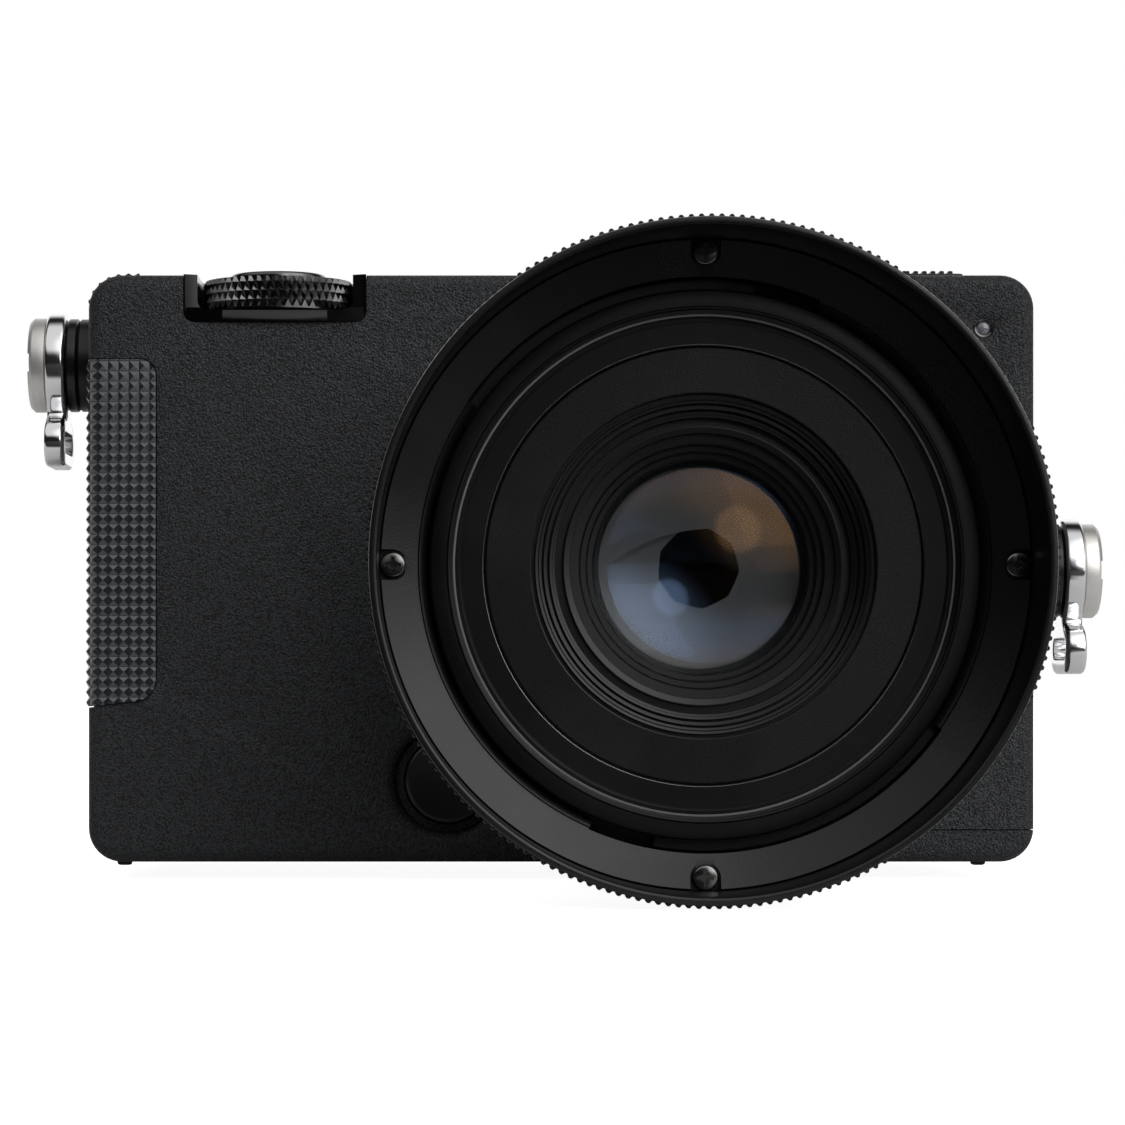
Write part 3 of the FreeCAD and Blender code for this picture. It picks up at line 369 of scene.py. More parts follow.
def paint_node(finish, *nodes):
    """A node whose own shape is right keeps it, and only gets a better material."""
    for name in nodes:
        materials = frame["nodes"][name].data.materials
        materials.clear()
        materials.append(finish)


print("slots", sorted(set(slot_of.values())))

# %% [markdown]
# Materials are made of nodes. A few helpers place a node, write its values or link it to others, and do sums
# on sockets, so that the materials below read like recipes.

# %% Node helpers
def group(name, inputs, outputs):
    tree = bpy.data.node_groups.new(name, "ShaderNodeTree")
    for label, value in inputs.items():
        socket = tree.interface.new_socket(label, in_out="INPUT", socket_type="NodeSocketFloat")
        socket.default_value = value
    for label in outputs:
        tree.interface.new_socket(label, in_out="OUTPUT", socket_type="NodeSocketFloat")
    return tree, tree.nodes.new("NodeGroupInput"), tree.nodes.new("NodeGroupOutput")


def plug(tree, value, socket):
    """Link another node's output to a socket, or write a plain value on it."""
    if hasattr(value, "is_output"):
        tree.links.new(value, socket)
    else:
        socket.default_value = value


def node(tree, kind, **values):
    made = tree.nodes.new("ShaderNode" + kind)
    for key, value in values.items():
        if key in made.inputs:
            plug(tree, value, made.inputs[key])
        else:
            setattr(made, key, value)
    return made


def maths(tree, operation, first, second=None):
    made = node(tree, "Math", operation=operation)
    plug(tree, first, made.inputs[0])
    if second is not None:
        plug(tree, second, made.inputs[1])
    return made.outputs[0]


def times(tree, first, second):
    return maths(tree, "MULTIPLY", first, second)


def spread(tree, value, low, high, to_low, to_high):
    """Map a value from one range to another, with soft ends."""
    made = node(tree, "MapRange", interpolation_type="SMOOTHSTEP", Value=value)
    for key, number in (("From Min", low), ("From Max", high), ("To Min", to_low), ("To Max", to_high)):
        made.inputs[key].default_value = number
    return made.outputs["Result"]


def place_on(tree, coordinates="Object"):
    return node(tree, "TexCoord").outputs[coordinates]


print("node helpers are ready")

# %% [markdown]
# Most finishes on this camera are black, and they differ only in grain and gloss. Three effects are shared by
# several materials, so each is a node group: a pebbled grain for the paint, fine turning marks round the lens
# axis, and at the edges a little polish with a painted highlight. The grain is rounded cells with some noise,
# which also marks the pits. The turning marks are a fine wave in the distance from the axis. The edges follow
# the mesh's own pointedness, and a soft cloud stands for the places that fingers touch.

# %% Shared effects
def pebble_group():
    """Rounded grains with dark pits between them; Size is the grain size in metres."""
    tree, source, result = group("pebbled_grain", {"Size": 0.0003, "Depth": 1.0}, ("Height", "Pits"))
    place = place_on(tree)
    scale = maths(tree, "DIVIDE", 1.0, source.outputs["Size"])
    grains = node(tree, "TexVoronoi", feature="SMOOTH_F1", Smoothness=0.6, Vector=place, Scale=scale)
    noise = node(tree, "TexNoise", Detail=1.5, Roughness=0.55, Vector=place, Scale=times(tree, scale, 1.35))
    bumps = maths(tree, "SUBTRACT", 1.0, grains.outputs["Distance"])
    height = maths(tree, "ADD", times(tree, bumps, 0.55), times(tree, noise.outputs[0], 0.9))
    plug(tree, times(tree, height, source.outputs["Depth"]), result.inputs["Height"])
    plug(tree, spread(tree, noise.outputs[0], 0.42, 0.52, 1.0, 0.0), result.inputs["Pits"])
    return tree


def turned_group():
    """Fine marks of a lathe tool round the lens axis, which climb as the tool moves along it."""
    tree, source, result = group("turning_marks", {"Pitch": 0.00012}, ("Height",))
    x, y, z = node(tree, "SeparateXYZ", Vector=place_on(tree)).outputs
    rise = maths(tree, "SUBTRACT", z, axis_z * MM)
    radius = maths(tree, "SQRT", maths(tree, "ADD", times(tree, x, x), times(tree, rise, rise)))
    path = maths(tree, "ADD", radius, times(tree, y, 0.9))
    turns = maths(tree, "DIVIDE", path, source.outputs["Pitch"])
    plug(tree, maths(tree, "SINE", times(tree, turns, 2 * pi)), result.inputs["Height"])
    return tree


def edge_polish_and_highlight_group():
    """Convex edges, where finishes get a painted highlight and a little polish, and soft patches as large as a
    fingertip.
    """
    tree, source, result = group("edge_polish_and_highlight", {"Edge": 1.0, "Patch Size": 0.012}, ("Edge", "Patch"))
    # convex edges: finishes lighten their colour here as a painted highlight, and lower their roughness as
    # polish
    edge = spread(tree, node(tree, "NewGeometry").outputs["Pointiness"], 0.52, 0.62, 0.0, 1.0)
    plug(tree, times(tree, edge, source.outputs["Edge"]), result.inputs["Edge"])
    cloud = node(tree, "TexNoise", Detail=2.0, Vector=place_on(tree),
                 Scale=maths(tree, "DIVIDE", 1.0, source.outputs["Patch Size"]))
    plug(tree, spread(tree, cloud.outputs[0], 0.35, 0.65, 0.0, 1.0), result.inputs["Patch"])
    return tree


pebbled_grain = pebble_group()
turning_marks = turned_group()
edge_polish_and_highlight = edge_polish_and_highlight_group()
print("shared effects", [tree.name for tree in bpy.data.node_groups])

# %% [markdown]
# One maker builds every finish. It lightens the colour at convex edges as a painted highlight, darkens it in
# the grain's pits, moves the roughness with edges, pits and handling, and feeds the grain's height to a bump.
# Each finish then differs by its values, as a paint maker's card would list them.

# %% The maker of finishes
HIGHLIGHT_GAIN, HIGHLIGHT_LIFT = 1.7, 0.01
PIT_ROUGHNESS = 0.45
RUBBED_GLOSS = 0.3


def plain_material(name, values):
    """A new material with its tree and its shader, whose own sockets hold the plain values."""
    material = bpy.data.materials.new(name)
    material.use_nodes = True
    shader = material.node_tree.nodes["Principled BSDF"]
    for key, value in values.items():
        shader.inputs[key].default_value = value
    return material, material.node_tree, shader


def finish(name, colour, rough, metal=0.0, specular=0.5, grain=0.0, depth=0.00002, pits=0.5, marks=0.0,
           edge=0.25, patch=0.08, coat=0.0, coat_rough=0.03):
    """A finish: a painted highlight on edges, darker pits, roughness by touch, and a bump from grain and
    turning marks.
    """
    material, tree, shader = plain_material(name, {
        "Metallic": metal, "Specular IOR Level": specular, "Coat Weight": coat, "Coat Roughness": coat_rough})
    polish_and_highlight = node(tree, "Group", node_tree=edge_polish_and_highlight, Edge=edge).outputs
    # painted highlight: a lighter tone of the colour, mixed in at convex edges
    painted_highlight = (*[min(1.0, channel * HIGHLIGHT_GAIN + HIGHLIGHT_LIFT) for channel in colour], 1.0)
    dark = (*[channel * (1 - pits) for channel in colour], 1.0)
    tone = node(tree, "MixRGB", Color1=(*colour, 1.0), Color2=painted_highlight, Fac=polish_and_highlight["Edge"])
    sheen = spread(tree, polish_and_highlight["Patch"], 0.0, 1.0, rough * (1 - patch), rough * (1 + patch))
    height = None
    if grain:
        pebbles = node(tree, "Group", node_tree=pebbled_grain, Size=grain).outputs
        tone = node(tree, "MixRGB", Color1=tone.outputs["Color"], Color2=dark, Fac=pebbles["Pits"])
        sheen = maths(tree, "ADD", sheen, times(tree, pebbles["Pits"], PIT_ROUGHNESS * rough * pits))
        height = times(tree, pebbles["Height"], depth)
    if marks:
        turning = node(tree, "Group", node_tree=turning_marks).outputs["Height"]
        lines = times(tree, turning, marks)
        height = maths(tree, "ADD", height, lines) if height else lines
    rubbed = times(tree, polish_and_highlight["Edge"], -RUBBED_GLOSS * rough)
    plug(tree, tone.outputs["Color"], shader.inputs["Base Color"])
    plug(tree, maths(tree, "ADD", sheen, rubbed), shader.inputs["Roughness"])
    if height:
        bump = node(tree, "Bump", Strength=1.0, Distance=1.0, Height=height)
        plug(tree, bump.outputs["Normal"], shader.inputs["Normal"])
    return material


print("the maker knows", len(bpy.data.node_groups), "effects")

# %% [markdown]
# The tones were set by comparing renders with the photograph. The body is the palest and the most pitted, the
# lens and its hood are darker and smoother, and the rubber of the grip has a soft sheen of its own.

# %% Paints and rubber
# The edge value of each finish sets how strongly its convex edges are lightened, as a painted highlight.
body_paint = finish(
    "body_paint", (0.0200, 0.0225, 0.0270), 0.42, specular=0.45, grain=0.00026, depth=0.0002, pits=1.0)
hood_paint = finish(
    "hood_paint", (0.0052, 0.0056, 0.0064), 0.3, specular=0.42, grain=0.0002, depth=0.00001, pits=0.2)
lens_paint = finish(
    "lens_paint", (0.0020, 0.0022, 0.0026), 0.36, specular=0.3, grain=0.00018, depth=0.00001, pits=0.25,
    marks=0.0000004)
trap_paint = finish("light_trap_paint", (0.0024, 0.0027, 0.0034), 0.36, specular=0.42, grain=0.00016,
                    depth=0.00001, pits=0.3)
grip_rubber = finish("grip_rubber", (0.014, 0.0172, 0.0215), 0.25, specular=1.0, grain=0.0001, depth=0.000006,
                     pits=0.15, edge=0.8, coat=1.0, coat_rough=0.24)
plain_rubber = finish("plain_rubber", (0.014, 0.014, 0.015), 0.65, specular=0.3, grain=0.00014, depth=0.000008,
                      pits=0.2)
print("paints and rubber", len(bpy.data.materials))

# %% [markdown]
# The hardware is metal or gloss lacquer. Polished parts have no grain, so that they mirror the room, and the
# coin screws are a little blurred, as by a fine brush.

# %% Metals, lacquer and the rest
gloss_black = finish(
    "gloss_black", (0.0012, 0.0012, 0.0014), 0.16, specular=1.0, edge=0.3, coat=1.0, coat_rough=0.06)
dial_black = finish("dial_black", (0.11, 0.11, 0.113), 0.2, metal=1.0, edge=0.4)
key_black = finish(
    "key_black", (0.008, 0.008, 0.009), 0.32, specular=0.5, grain=0.00015, depth=0.000004, pits=0.15)
record_red = finish("record_red", (0.22, 0.012, 0.010), 0.4, specular=0.4)
chrome = finish("eyelet_chrome", (0.93, 0.93, 0.94), 0.1, metal=1.0, edge=0.0, patch=0.2)
nickel = finish("satin_nickel", (0.86, 0.835, 0.80), 0.44, metal=1.0, grain=0.0002, depth=0.0000015, pits=0.06)
steel = finish("mount_steel", (0.50, 0.50, 0.50), 0.24, metal=1.0, marks=0.0000008)
screw_black = finish("screw_black", (0.19, 0.187, 0.182), 0.18, metal=1.0)
washer_black = finish("washer_black", (0.004, 0.004, 0.0045), 0.26, specular=0.5, edge=0.2)
boss_black = finish("boss_black", (0.004, 0.004, 0.0045), 0.34, specular=0.4)
sink_black = finish("sink_black", (0.014, 0.014, 0.0155), 0.45, metal=0.3, specular=0.4, grain=0.00015,
                    depth=0.000006, pits=0.15)
screen_paint = finish("screen_housing", (0.009, 0.0095, 0.011), 0.46, specular=0.4, grain=0.0002, depth=0.00002,
                      pits=0.3)
board_green = finish("board_green", (0.01, 0.09, 0.045), 0.35)
sensor_glass = finish("sensor_glass", (0.03, 0.05, 0.05), 0.08, specular=0.8, coat=1.0)
screen_black = finish("screen_black", (0.004, 0.004, 0.005), 0.05, specular=0.5, coat=1.0)
cell_case = finish("cell_case", (0.03, 0.03, 0.033), 0.5)
seat_black = finish(
    "seat_black", (0.0012, 0.0012, 0.0014), 0.16, specular=0.35, edge=0.3, coat=0.25, coat_rough=0.06)
# painted highlights: two finishes lighter than the black lens, for thin rings that stand in for edge highlights
metal_highlight_line = finish("metal_highlight_line", (0.26, 0.26, 0.265), 0.25, metal=1.0, edge=0.0)
grey_highlight_line = finish("grey_highlight_line", (0.24, 0.24, 0.245), 0.3, edge=0.0)
blade_black = finish(
    "blade_black", (0.10, 0.10, 0.105), 0.4, metal=0.5, specular=0.4, edge=0.0, marks=0.0000004)
print("finishes", len(bpy.data.materials))

# %% [markdown]
# The casing is a block with rounded corners and a softly rounded front edge. The same form, grown or shrunk,
# also gives the beds that the rubber skins lie in, so one function makes it. Rounded edges come from bevels
# on picked edges, because they stay exact when the block's size changes.

# %% The casing's form
left, front, base = (value / MM for value in shell_low)
right, split, top = (value / MM for value in shell_high)
corner = 4.0
edge_round = 1.5
wall = 1.6
front_wall = 2.0
dial_low, dial_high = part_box("front_dial")
dial_x = (dial_low.x + dial_high.x) / 2 / MM
dial_y = (dial_low.y + dial_high.y) / 2 / MM
seat_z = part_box("dial_seat")[0].z / MM
dial_radius = 9.1
seat_radius = 10.85


def casing_form(name, grow, back):
    """The outer form of the body, grown all over, up to a chosen distance back."""
    form = block(name, (left - grow, front - grow, base - grow), (right + grow, back, top + grow))
    round_edges(form, 1, corner + grow, 10)
    face_y = (front - grow) * MM
    bevel_edges(form, lambda edge: all(abs(v.co.y - face_y) < HAIR for v in edge.verts), edge_round + grow, 6)
    return form


def dial_cup(name, radius, floor):
    """The U-shaped hollow of the dial: round at the back, open at the front, softly rounded below."""
    cup = block(name, (dial_x - radius, front - 3, floor), (dial_x + radius, dial_y + radius, top + 3))
    back = (dial_y + radius) * MM
    bevel_edges(
        cup, lambda edge: runs_along(edge, 2) and abs(edge.verts[0].co.y - back) < HAIR, radius - 0.01, 24)
    mouth = (front - 2.9) * MM
    bevel_edges(
        cup, lambda edge: all(abs(v.co.z - floor * MM) < HAIR for v in edge.verts)
        and max(v.co.y for v in edge.verts) > mouth, 1.2, 5)
    return cup


print("casing", round(right - left, 1), "wide", round(top - base, 1), "high")

# %% [markdown]
# The rubber grip is a skin about a millimetre thick, moulded with rows of small pyramids. It is drawn as a
# path in plan, extruded upwards one row at a time. Each square then gets an inset, which leaves the narrow
# land between the pyramids, and a poke, which raises the point. Last the skin is thickened and trimmed to
# its outline. The thumb pad on the top corner is made in the same way from another path.

# %% The rubber skins
rubber_proud = 0.4
rubber_depth = 0.6
stud_pitch = 1.21
stud_height = 0.34
land = 0.07
grip_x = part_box("grip_rubber")[1].x / MM
grip_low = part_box("grip_rubber")[0].z / MM
grip_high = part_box("grip_rubber")[1].z / MM
thumb_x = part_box("thumb_rubber")[1].x / MM
thumb_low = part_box("thumb_rubber")[0].z / MM
strap_y = -3.0
strap_left_z = 60.2
strap_right_z = 35.0


def along_path(points, pitch):
    """The same path, divided into equal steps near one pitch long."""
    lengths = [(Vector(b) - Vector(a)).length for a, b in zip(points, points[1:])]
    count = round(sum(lengths) / pitch)
    stops, walked, leg = [], 0.0, 0
    for number in range(count + 1):
        target = min(sum(lengths) * number / count, sum(lengths) - 1e-9)
        while walked + lengths[leg] < target:
            walked += lengths[leg]
            leg += 1
        share = (target - walked) / lengths[leg]
        stops.append(Vector(points[leg]).lerp(Vector(points[leg + 1]), share))
    return stops


def studded_skin(name, path, row, rows):
    """A moulded skin: a path extruded row by row, with a pyramid on every square."""
    skin = first_vertex(name)
    bpy.ops.transform.translate(value=Vector(path[0]) * MM)
    for here, there in zip(path, path[1:]):
        bpy.ops.mesh.extrude_vertices_move(TRANSFORM_OT_translate={"value": (there - here) * MM})
    everything()
    for _ in range(rows):
        extrude(Vector(row) * MM)
    bpy.ops.mesh.select_mode(type="FACE")
    face_out()
    middle = Vector(((left + right) / 2, (front + split) / 2, top / 2)) * MM
    outwards = pick(skin, "faces", lambda face: face.normal.dot(face.calc_center_median() - middle) > 0)
    if outwards < len(bmesh.from_edit_mesh(skin.data).faces) / 2:
        everything()
        bpy.ops.mesh.flip_normals()
    studs = pick(skin, "faces", lambda face: True)
    bpy.ops.mesh.inset(thickness=land / 2 * MM, use_individual=True, use_even_offset=True)
    bpy.ops.mesh.poke(offset=stud_height * MM)
    done()
    skin_depth = rubber_proud + rubber_depth
    apply_modifier(skin, "SOLIDIFY", thickness=skin_depth * MM, offset=-1, use_even_offset=True)
    print(name, "pyramids", studs)
    return skin


proud_front = front - rubber_proud
proud_left = left - rubber_proud
proud_round = edge_round + rubber_proud
stud_floor = stud_height - 0.02
path_z = grip_low - 1.0
turn_points = [
    (proud_left + proud_round - (proud_round - stud_floor) * sin(turn),
     proud_front + proud_round - (proud_round - stud_floor) * cos(turn), path_z)
    for turn in (radians(90 * n / 8) for n in range(9))]
plan = [(grip_x + 0.5, proud_front + stud_floor, path_z)] + turn_points
plan += [(proud_left + stud_floor, 3.4, path_z)]
skin_height = grip_high - grip_low + 2.0
rows = round(skin_height / stud_pitch)
row_height = skin_height / rows
grip = studded_skin("grip_skin", along_path(plan, stud_pitch), (0, 0, row_height), rows)

# %% [markdown]
# The outline of the grip has a rounded upper corner, and a foot that slopes up and curls in at the right.
# It is drawn by bevelling two corners of a block by different amounts, then used as a cookie cutter.

# %% The outline of the skins
def grip_outline(name, grow):
    outline = block(name, (left - 3, front - 3, grip_low - grow), (grip_x + grow, 3.0 + grow, grip_high + grow))
    edge_x = (grip_x + grow) * MM
    bevel_edges(outline, lambda edge: runs_along(edge, 1) and edge.verts[0].co.x > edge_x - HAIR
                and edge.verts[0].co.z > 50 * MM, 2.0, 8)
    edit(outline, "VERT")
    pick(outline, "verts", lambda v: v.co.x > edge_x - HAIR and v.co.z < 30 * MM)
    bpy.ops.transform.translate(value=(0, 0, 1.2 * MM))
    done()
    bevel_edges(outline, lambda edge: runs_along(edge, 1) and edge.verts[0].co.x > edge_x - HAIR
                and edge.verts[0].co.z < 30 * MM, 2.4, 8)
    cut(outline, rod("boss_room", 6.25 - grow, (left, strap_y, strap_left_z), "X", 12))
    return outline


def thumb_outline(name, grow):
    low = (left - 3, -15.0 - grow, thumb_low - grow)
    return block(name, low, (thumb_x + grow, split - 0.4 + grow, top + 3))


combine(grip, grip_outline("grip_trim", 0), "INTERSECT")
smooth(grip, 20)
fit(grip, "camera", grip_rubber, "grip_rubber")

thumb_pitch = 1.15
thumb_front = -15.6
arc_centre = (left + corner, top - corner)
arc_radius = corner + rubber_proud - stud_floor
thumb_path = [(left - rubber_proud + stud_floor, thumb_front, thumb_low - 1.0)]
thumb_path += [(arc_centre[0] - arc_radius * cos(turn), thumb_front, arc_centre[1] + arc_radius * sin(turn))
               for turn in (radians(90 * n / 10) for n in range(11))]
thumb_path += [(thumb_x + 0.5, thumb_front, arc_centre[1] + arc_radius)]
thumb = studded_skin("thumb_skin", along_path(thumb_path, thumb_pitch), (0, thumb_pitch, 0), 20)
combine(thumb, thumb_outline("thumb_trim", 0), "INTERSECT")
smooth(thumb, 20)
fit(thumb, "camera", grip_rubber, "thumb_rubber")

# %% [markdown]
# Now the casing itself. The hollow, the lens opening, the dial's cup, the slots of the switches and the doors
# are cut one after another from the rounded block. A narrow bevel on every sharp edge comes last, because a
# real casting has no knife edges, and that thin line of light is what makes an edge look like metal.

# %% The casing
release_x, release_z = -27.5, axis_z - 24.2
lamp_x, lamp_z = 36.2, 63.5
record_x, record_y = -30.5, -4.0


def room(name, inset, y0, y1):
    return block(name, (left + inset, y0, base + inset), (right - inset, y1, top - inset))


def bed(name, outline):
    """A shallow recess that follows the surface inside an outline."""
    recess = casing_form(name, 1.0, split + 1)
    cut(recess, casing_form("core", -rubber_depth, split + 2))
    combine(recess, outline, "INTERSECT")
    return recess


casing = casing_form("casing", 0, split)
release_dish = lathe(
    "release_dish", outline_at(0, front, (0, -1), (7.6, -1), (7.6, 0))
    + quarter(1.4, (7.6, front + 0.9 + 0.5), 250, 180, 4)
    + outline_at(0, front, (6.1, 1.6), (5.25, 1.6), (5.25, 3), (0, 3)),
    64, "Y", (release_x, 0, release_z), closed=False)
lamp_dimple = lathe(
    "lamp_dimple",
    outline_at(0, front, (0, -1), (1.9, -1), (1.9, 0), (1.4, 0.2), (1.22, 0.24), (1.22, 4), (0, 4)),
    40, "Y", (lamp_x, 0, lamp_z), closed=False)
cut(
    casing,
    room("inside", wall, front + front_wall, split + 1),
    rod("lens_opening", 27.05, (0, front, axis_z), "Y", 8, 128),
    release_dish,
    lamp_dimple,
    dial_cup("cup", seat_radius + 0.05, seat_z - 0.05),
    block("power_slot", (21.7, -11.25, 60), (31.3, -8.75, 75)),
    block("mode_slot", (-8.3, -5.75, 60), (-0.7, -3.25, 75)),
    rod("record_hole", 3.15, (record_x, record_y, top), "Z", 8),
    block("port_opening", (right - 4, -15.5, 5.1), (right + 3, -9.3, 58.1)),
    block("battery_opening", (-64.4, -12.8, -2), (-30.0, 4.8, 4)),
    block("panel_opening", (-14.0, front - 3, -3), (right + 3, split + 3, 3.92)),
    bed("grip_bed", grip_outline("grip_edge", 0.12)),
    bed("thumb_bed", thumb_outline("thumb_edge", 0.12)),
    rod("left_spigot_hole", 4.25, (left, strap_y, strap_left_z), "X", 8),
    rod("right_spigot_hole", 4.25, (right, strap_y, strap_right_z), "X", 8),
)
soften(casing, 0.1, 40)
fit(casing, "camera", body_paint, "front_shell")

# %% [markdown]
# The base panel is a separate casting that carries the tripod socket. It continues the casing's form, so it
# is that form again, kept only below the seam.

# %% The base panel
panel = casing_form("base_casting", 0, split)
cut(panel, room("panel_inside", wall, front + front_wall, split + 1))
combine(panel, block("panel_keep", (-13.9, front - 3, -3), (right + 3, split + 3, 3.79)), "INTERSECT")
combine(panel, rod("bush_boss", 6.7, (0, 0, 3.5), "Z", 6.6), "UNION")
cut(panel, rod("bush_hole", 4.92, (0, 0, 3), "Z", 12))
soften(panel, 0.1, 40)
fit(panel, "camera", body_paint, "base_panel")

thread_radius = 3.175
bush = lathe(
    "tripod_socket",
    [(thread_radius + 0.3, 0.02), (4.7, 0.02), (4.88, 0.2), (4.88, 5.95), (thread_radius, 5.95)]
    + [point for n in range(9) for point in ((thread_radius, 5.5 - 0.55 * n), (3.32, 5.2 - 0.55 * n))]
    + [(thread_radius, 0.3)], 96, "Z", (0, 0, 0))
smooth(bush, 40)
fit(bush, "camera", steel, "tripod_bush")

foot_outline = [(0, -0.48), (0.6, -0.48), (0.82, -0.38), (0.9, -0.2), (0.9, 0.7), (0, 0.7)]
feet = [lathe("foot", foot_outline, 32, "Z", (x, y, 0), closed=False)
        for x, y in ((-66.2, -14.0), (36.0, -14.0), (-66.2, 4.0), (36.0, 4.0))]


def join(pieces, name):
    only(pieces[0])
    for piece in pieces:
        piece.select_set(True)
    bpy.ops.object.join()
    pieces[0].name = name
    return pieces[0]


feet = join(feet, "rubber_feet")
smooth(feet, 50)
fit(feet, "camera", plain_rubber, "feet")

# %% [markdown]
# The dial sits in a gloss black seat. Its lip swells forward a little, and slopes back towards the dial, as
# the insides of both arms do, so each facet mirrors another part of the room. The slopes are cut by blocks that
# are turned about one of their own edges.

# %% The dial seat
lip_radius = 120.0
lip_proud = 0.45
facet_turn = 27
seat = dial_cup("seat", seat_radius, seat_z)
cut(seat, dial_cup("seat_hollow", dial_radius + 0.15, seat_z + 1.4))
lip_middle = (dial_x, front - lip_proud + lip_radius, (seat_z + top) / 2)
combine(seat, rod("lip_swell", lip_radius, lip_middle, "Z", top - seat_z, 360), "INTERSECT")
def sloped_cutter(name, low, high, pivot, turn):
    """A block turned about one of its edges, which leaves a sloped facet."""
    tool = block(name, low, high)
    tool.data.transform(
        Matrix.Translation(Vector(pivot) * MM) @ Matrix.Rotation(radians(turn[0]), 4, turn[1])
        @ Matrix.Translation(-Vector(pivot) * MM))
    return tool


lip_y = front - lip_proud
lip_z = seat_z + 0.4
cut(seat, sloped_cutter("lip_slope", (dial_x - 6.2, front - 4, lip_z), (dial_x + 6.2, lip_y, seat_z + 6),
                        (dial_x, lip_y, lip_z), (-facet_turn, "X")))
for side in (-1, 1):
    arm_x = dial_x + side * (seat_radius - 0.15)
    arm_y = front - 0.02
    low_x, high_x = sorted((arm_x, arm_x - side * 6))
    cut(seat, sloped_cutter("arm_slope", (low_x, front - 4, seat_z + 1.7), (high_x, arm_y, top + 1),
                            (arm_x, arm_y, seat_z), (-side * facet_turn, "Z")))
soften(seat, 0.42, 35, 5)
fit(seat, "camera", seat_black, "dial_seat")

# %% [markdown]
# The dial has a diamond knurl, as cut by a pair of crossed wheels. A short tube of squares is poked, and
# dissolving the old square edges leaves diamonds. Poking those outwards raises their points.

# %% The front dial
dial_bottom = dial_low.z / MM
dial_top = dial_high.z / MM


def knurled_tube(name, root, point, count, low, high, rows):
    """A tube of raised diamonds round the Z axis of the dial."""
    tube = start(
        name, bpy.ops.mesh.primitive_circle_add, vertices=count, radius=root * MM, fill_type="NOTHING",
        location=(dial_x * MM, dial_y * MM, low * MM))
    bpy.ops.object.transform_apply(location=True)
    edit(tube, "EDGE")
    everything()
    for _ in range(rows):
        extrude((0, 0, (high - low) / rows * MM))
    face_out()
    squares = len(bmesh.from_edit_mesh(tube.data).verts)
    bpy.ops.mesh.select_mode(type="FACE")
    everything()
    bpy.ops.mesh.poke(offset=0)
    bpy.ops.mesh.select_mode(type="EDGE")
    pick(tube, "edges", lambda edge: not edge.is_boundary and all(v.index < squares for v in edge.verts))
    bpy.ops.mesh.dissolve_edges(use_verts=False)
    bpy.ops.mesh.select_mode(type="FACE")
    diamonds = pick(tube, "faces", lambda face: len(face.verts) == 4)
    bpy.ops.mesh.poke(offset=(point - root) * MM)
    done()
    apply_modifier(tube, "SOLIDIFY", thickness=0.6 * MM, offset=-1)
    combine(tube, rod("knurl_trim", 12, (dial_x, dial_y, dial_top - 5.02), "Z", 10), "INTERSECT")
    print(name, "diamonds", diamonds)
    return tube


knurl = knurled_tube("front_dial_knurl", 8.55, dial_radius, 52, dial_top - 3.85, dial_top + 0.43, 2)
dial = lathe(
    "front_dial_finish",
    outline_at(0, dial_bottom, (6.18, 0), (8.4, 0), (8.75, 0.3), (8.75, 0.5), (8.3, 0.6))
    + outline_at(0, dial_top, (8.3, 0), (6.5, 0), (6.35, -0.1), (6.18, -0.3)),
    128, "Z", (dial_x, dial_y, 0))
smooth(dial, 30)
dial = join([dial, knurl], "front_dial_finish")
fit(dial, "front_dial", dial_black, "front_dial")

# %% [markdown]
# The shutter button is slightly domed, with a rounded rim and a stem below. It stands in the dial's hole and
# moves on its own, so it is a piece of its own.

# %% The shutter button
shutter_radius = 5.83
button_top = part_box("shutter_button")[1].z / MM
button_low = 67.25
crown_radius = 5.35
crown = [(crown_radius * n / 8, button_top - 0.3 * (n / 8) ** 2) for n in range(9)]
button = lathe(
    "shutter_button_finish",
    crown + quarter(0.48, (crown_radius, button_top - 0.78), 78, 0, 5)
    + [(shutter_radius, button_low), (2.0, button_low), (2.0, 62.0), (0, 62.0)],
    96, "Z", (dial_x, dial_y, 0), closed=False)
smooth(button, 40)
fit(button, "shutter_button", gloss_black, "shutter_button")

# %% [markdown]
# The two switches on the top plate are ribbed knobs. The ribs are small blocks at one pitch, and their upper
# edges are broken so that each draws its own fine line of light. The record button is turned, and red.

# %% The switches and the record button
def ribbed_knob(name, node_name, height, ribs):
    """A low knob with ribs, whose neck runs in a slot of the top plate."""
    low, high = (corner_point / MM for corner_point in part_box(node_name))
    floor = top + 0.05
    shelf = floor + 0.6 * height
    knob = block(name, (low.x, low.y, floor), (high.x, high.y, shelf))
    round_edges(knob, 2, 0.8, 6)
    middle = (low.x + high.x) / 2
    y_mid = (low.y + high.y) / 2
    neck = 0.25 * (high.x - low.x)
    pieces = [knob, block("neck", (middle - neck, y_mid - 1.2, top - 2.6),
                          (middle + neck, y_mid + 1.2, floor + 0.1))]
    pitch = (high.x - low.x - 1.6) / ribs
    for number in range(ribs):
        x = low.x + 0.8 + number * pitch
        rib = block("rib", (x, low.y + 0.3, shelf - 0.1), (x + 0.55 * pitch, high.y - 0.3, top + height))
        bevel_edges(rib, lambda edge: all(v.co.z > (shelf + 0.1) * MM for v in edge.verts), 0.14, 2)
        pieces.append(rib)
    soften(knob, 0.1)
    knob = join(pieces, name)
    smooth(knob, 30)
    return knob


for name, height, ribs in (("power_switch", 1.0, 11), ("mode_switch", 0.9, 4)):
    fit(ribbed_knob(name + "_finish", name, height, ribs), name, key_black, name)

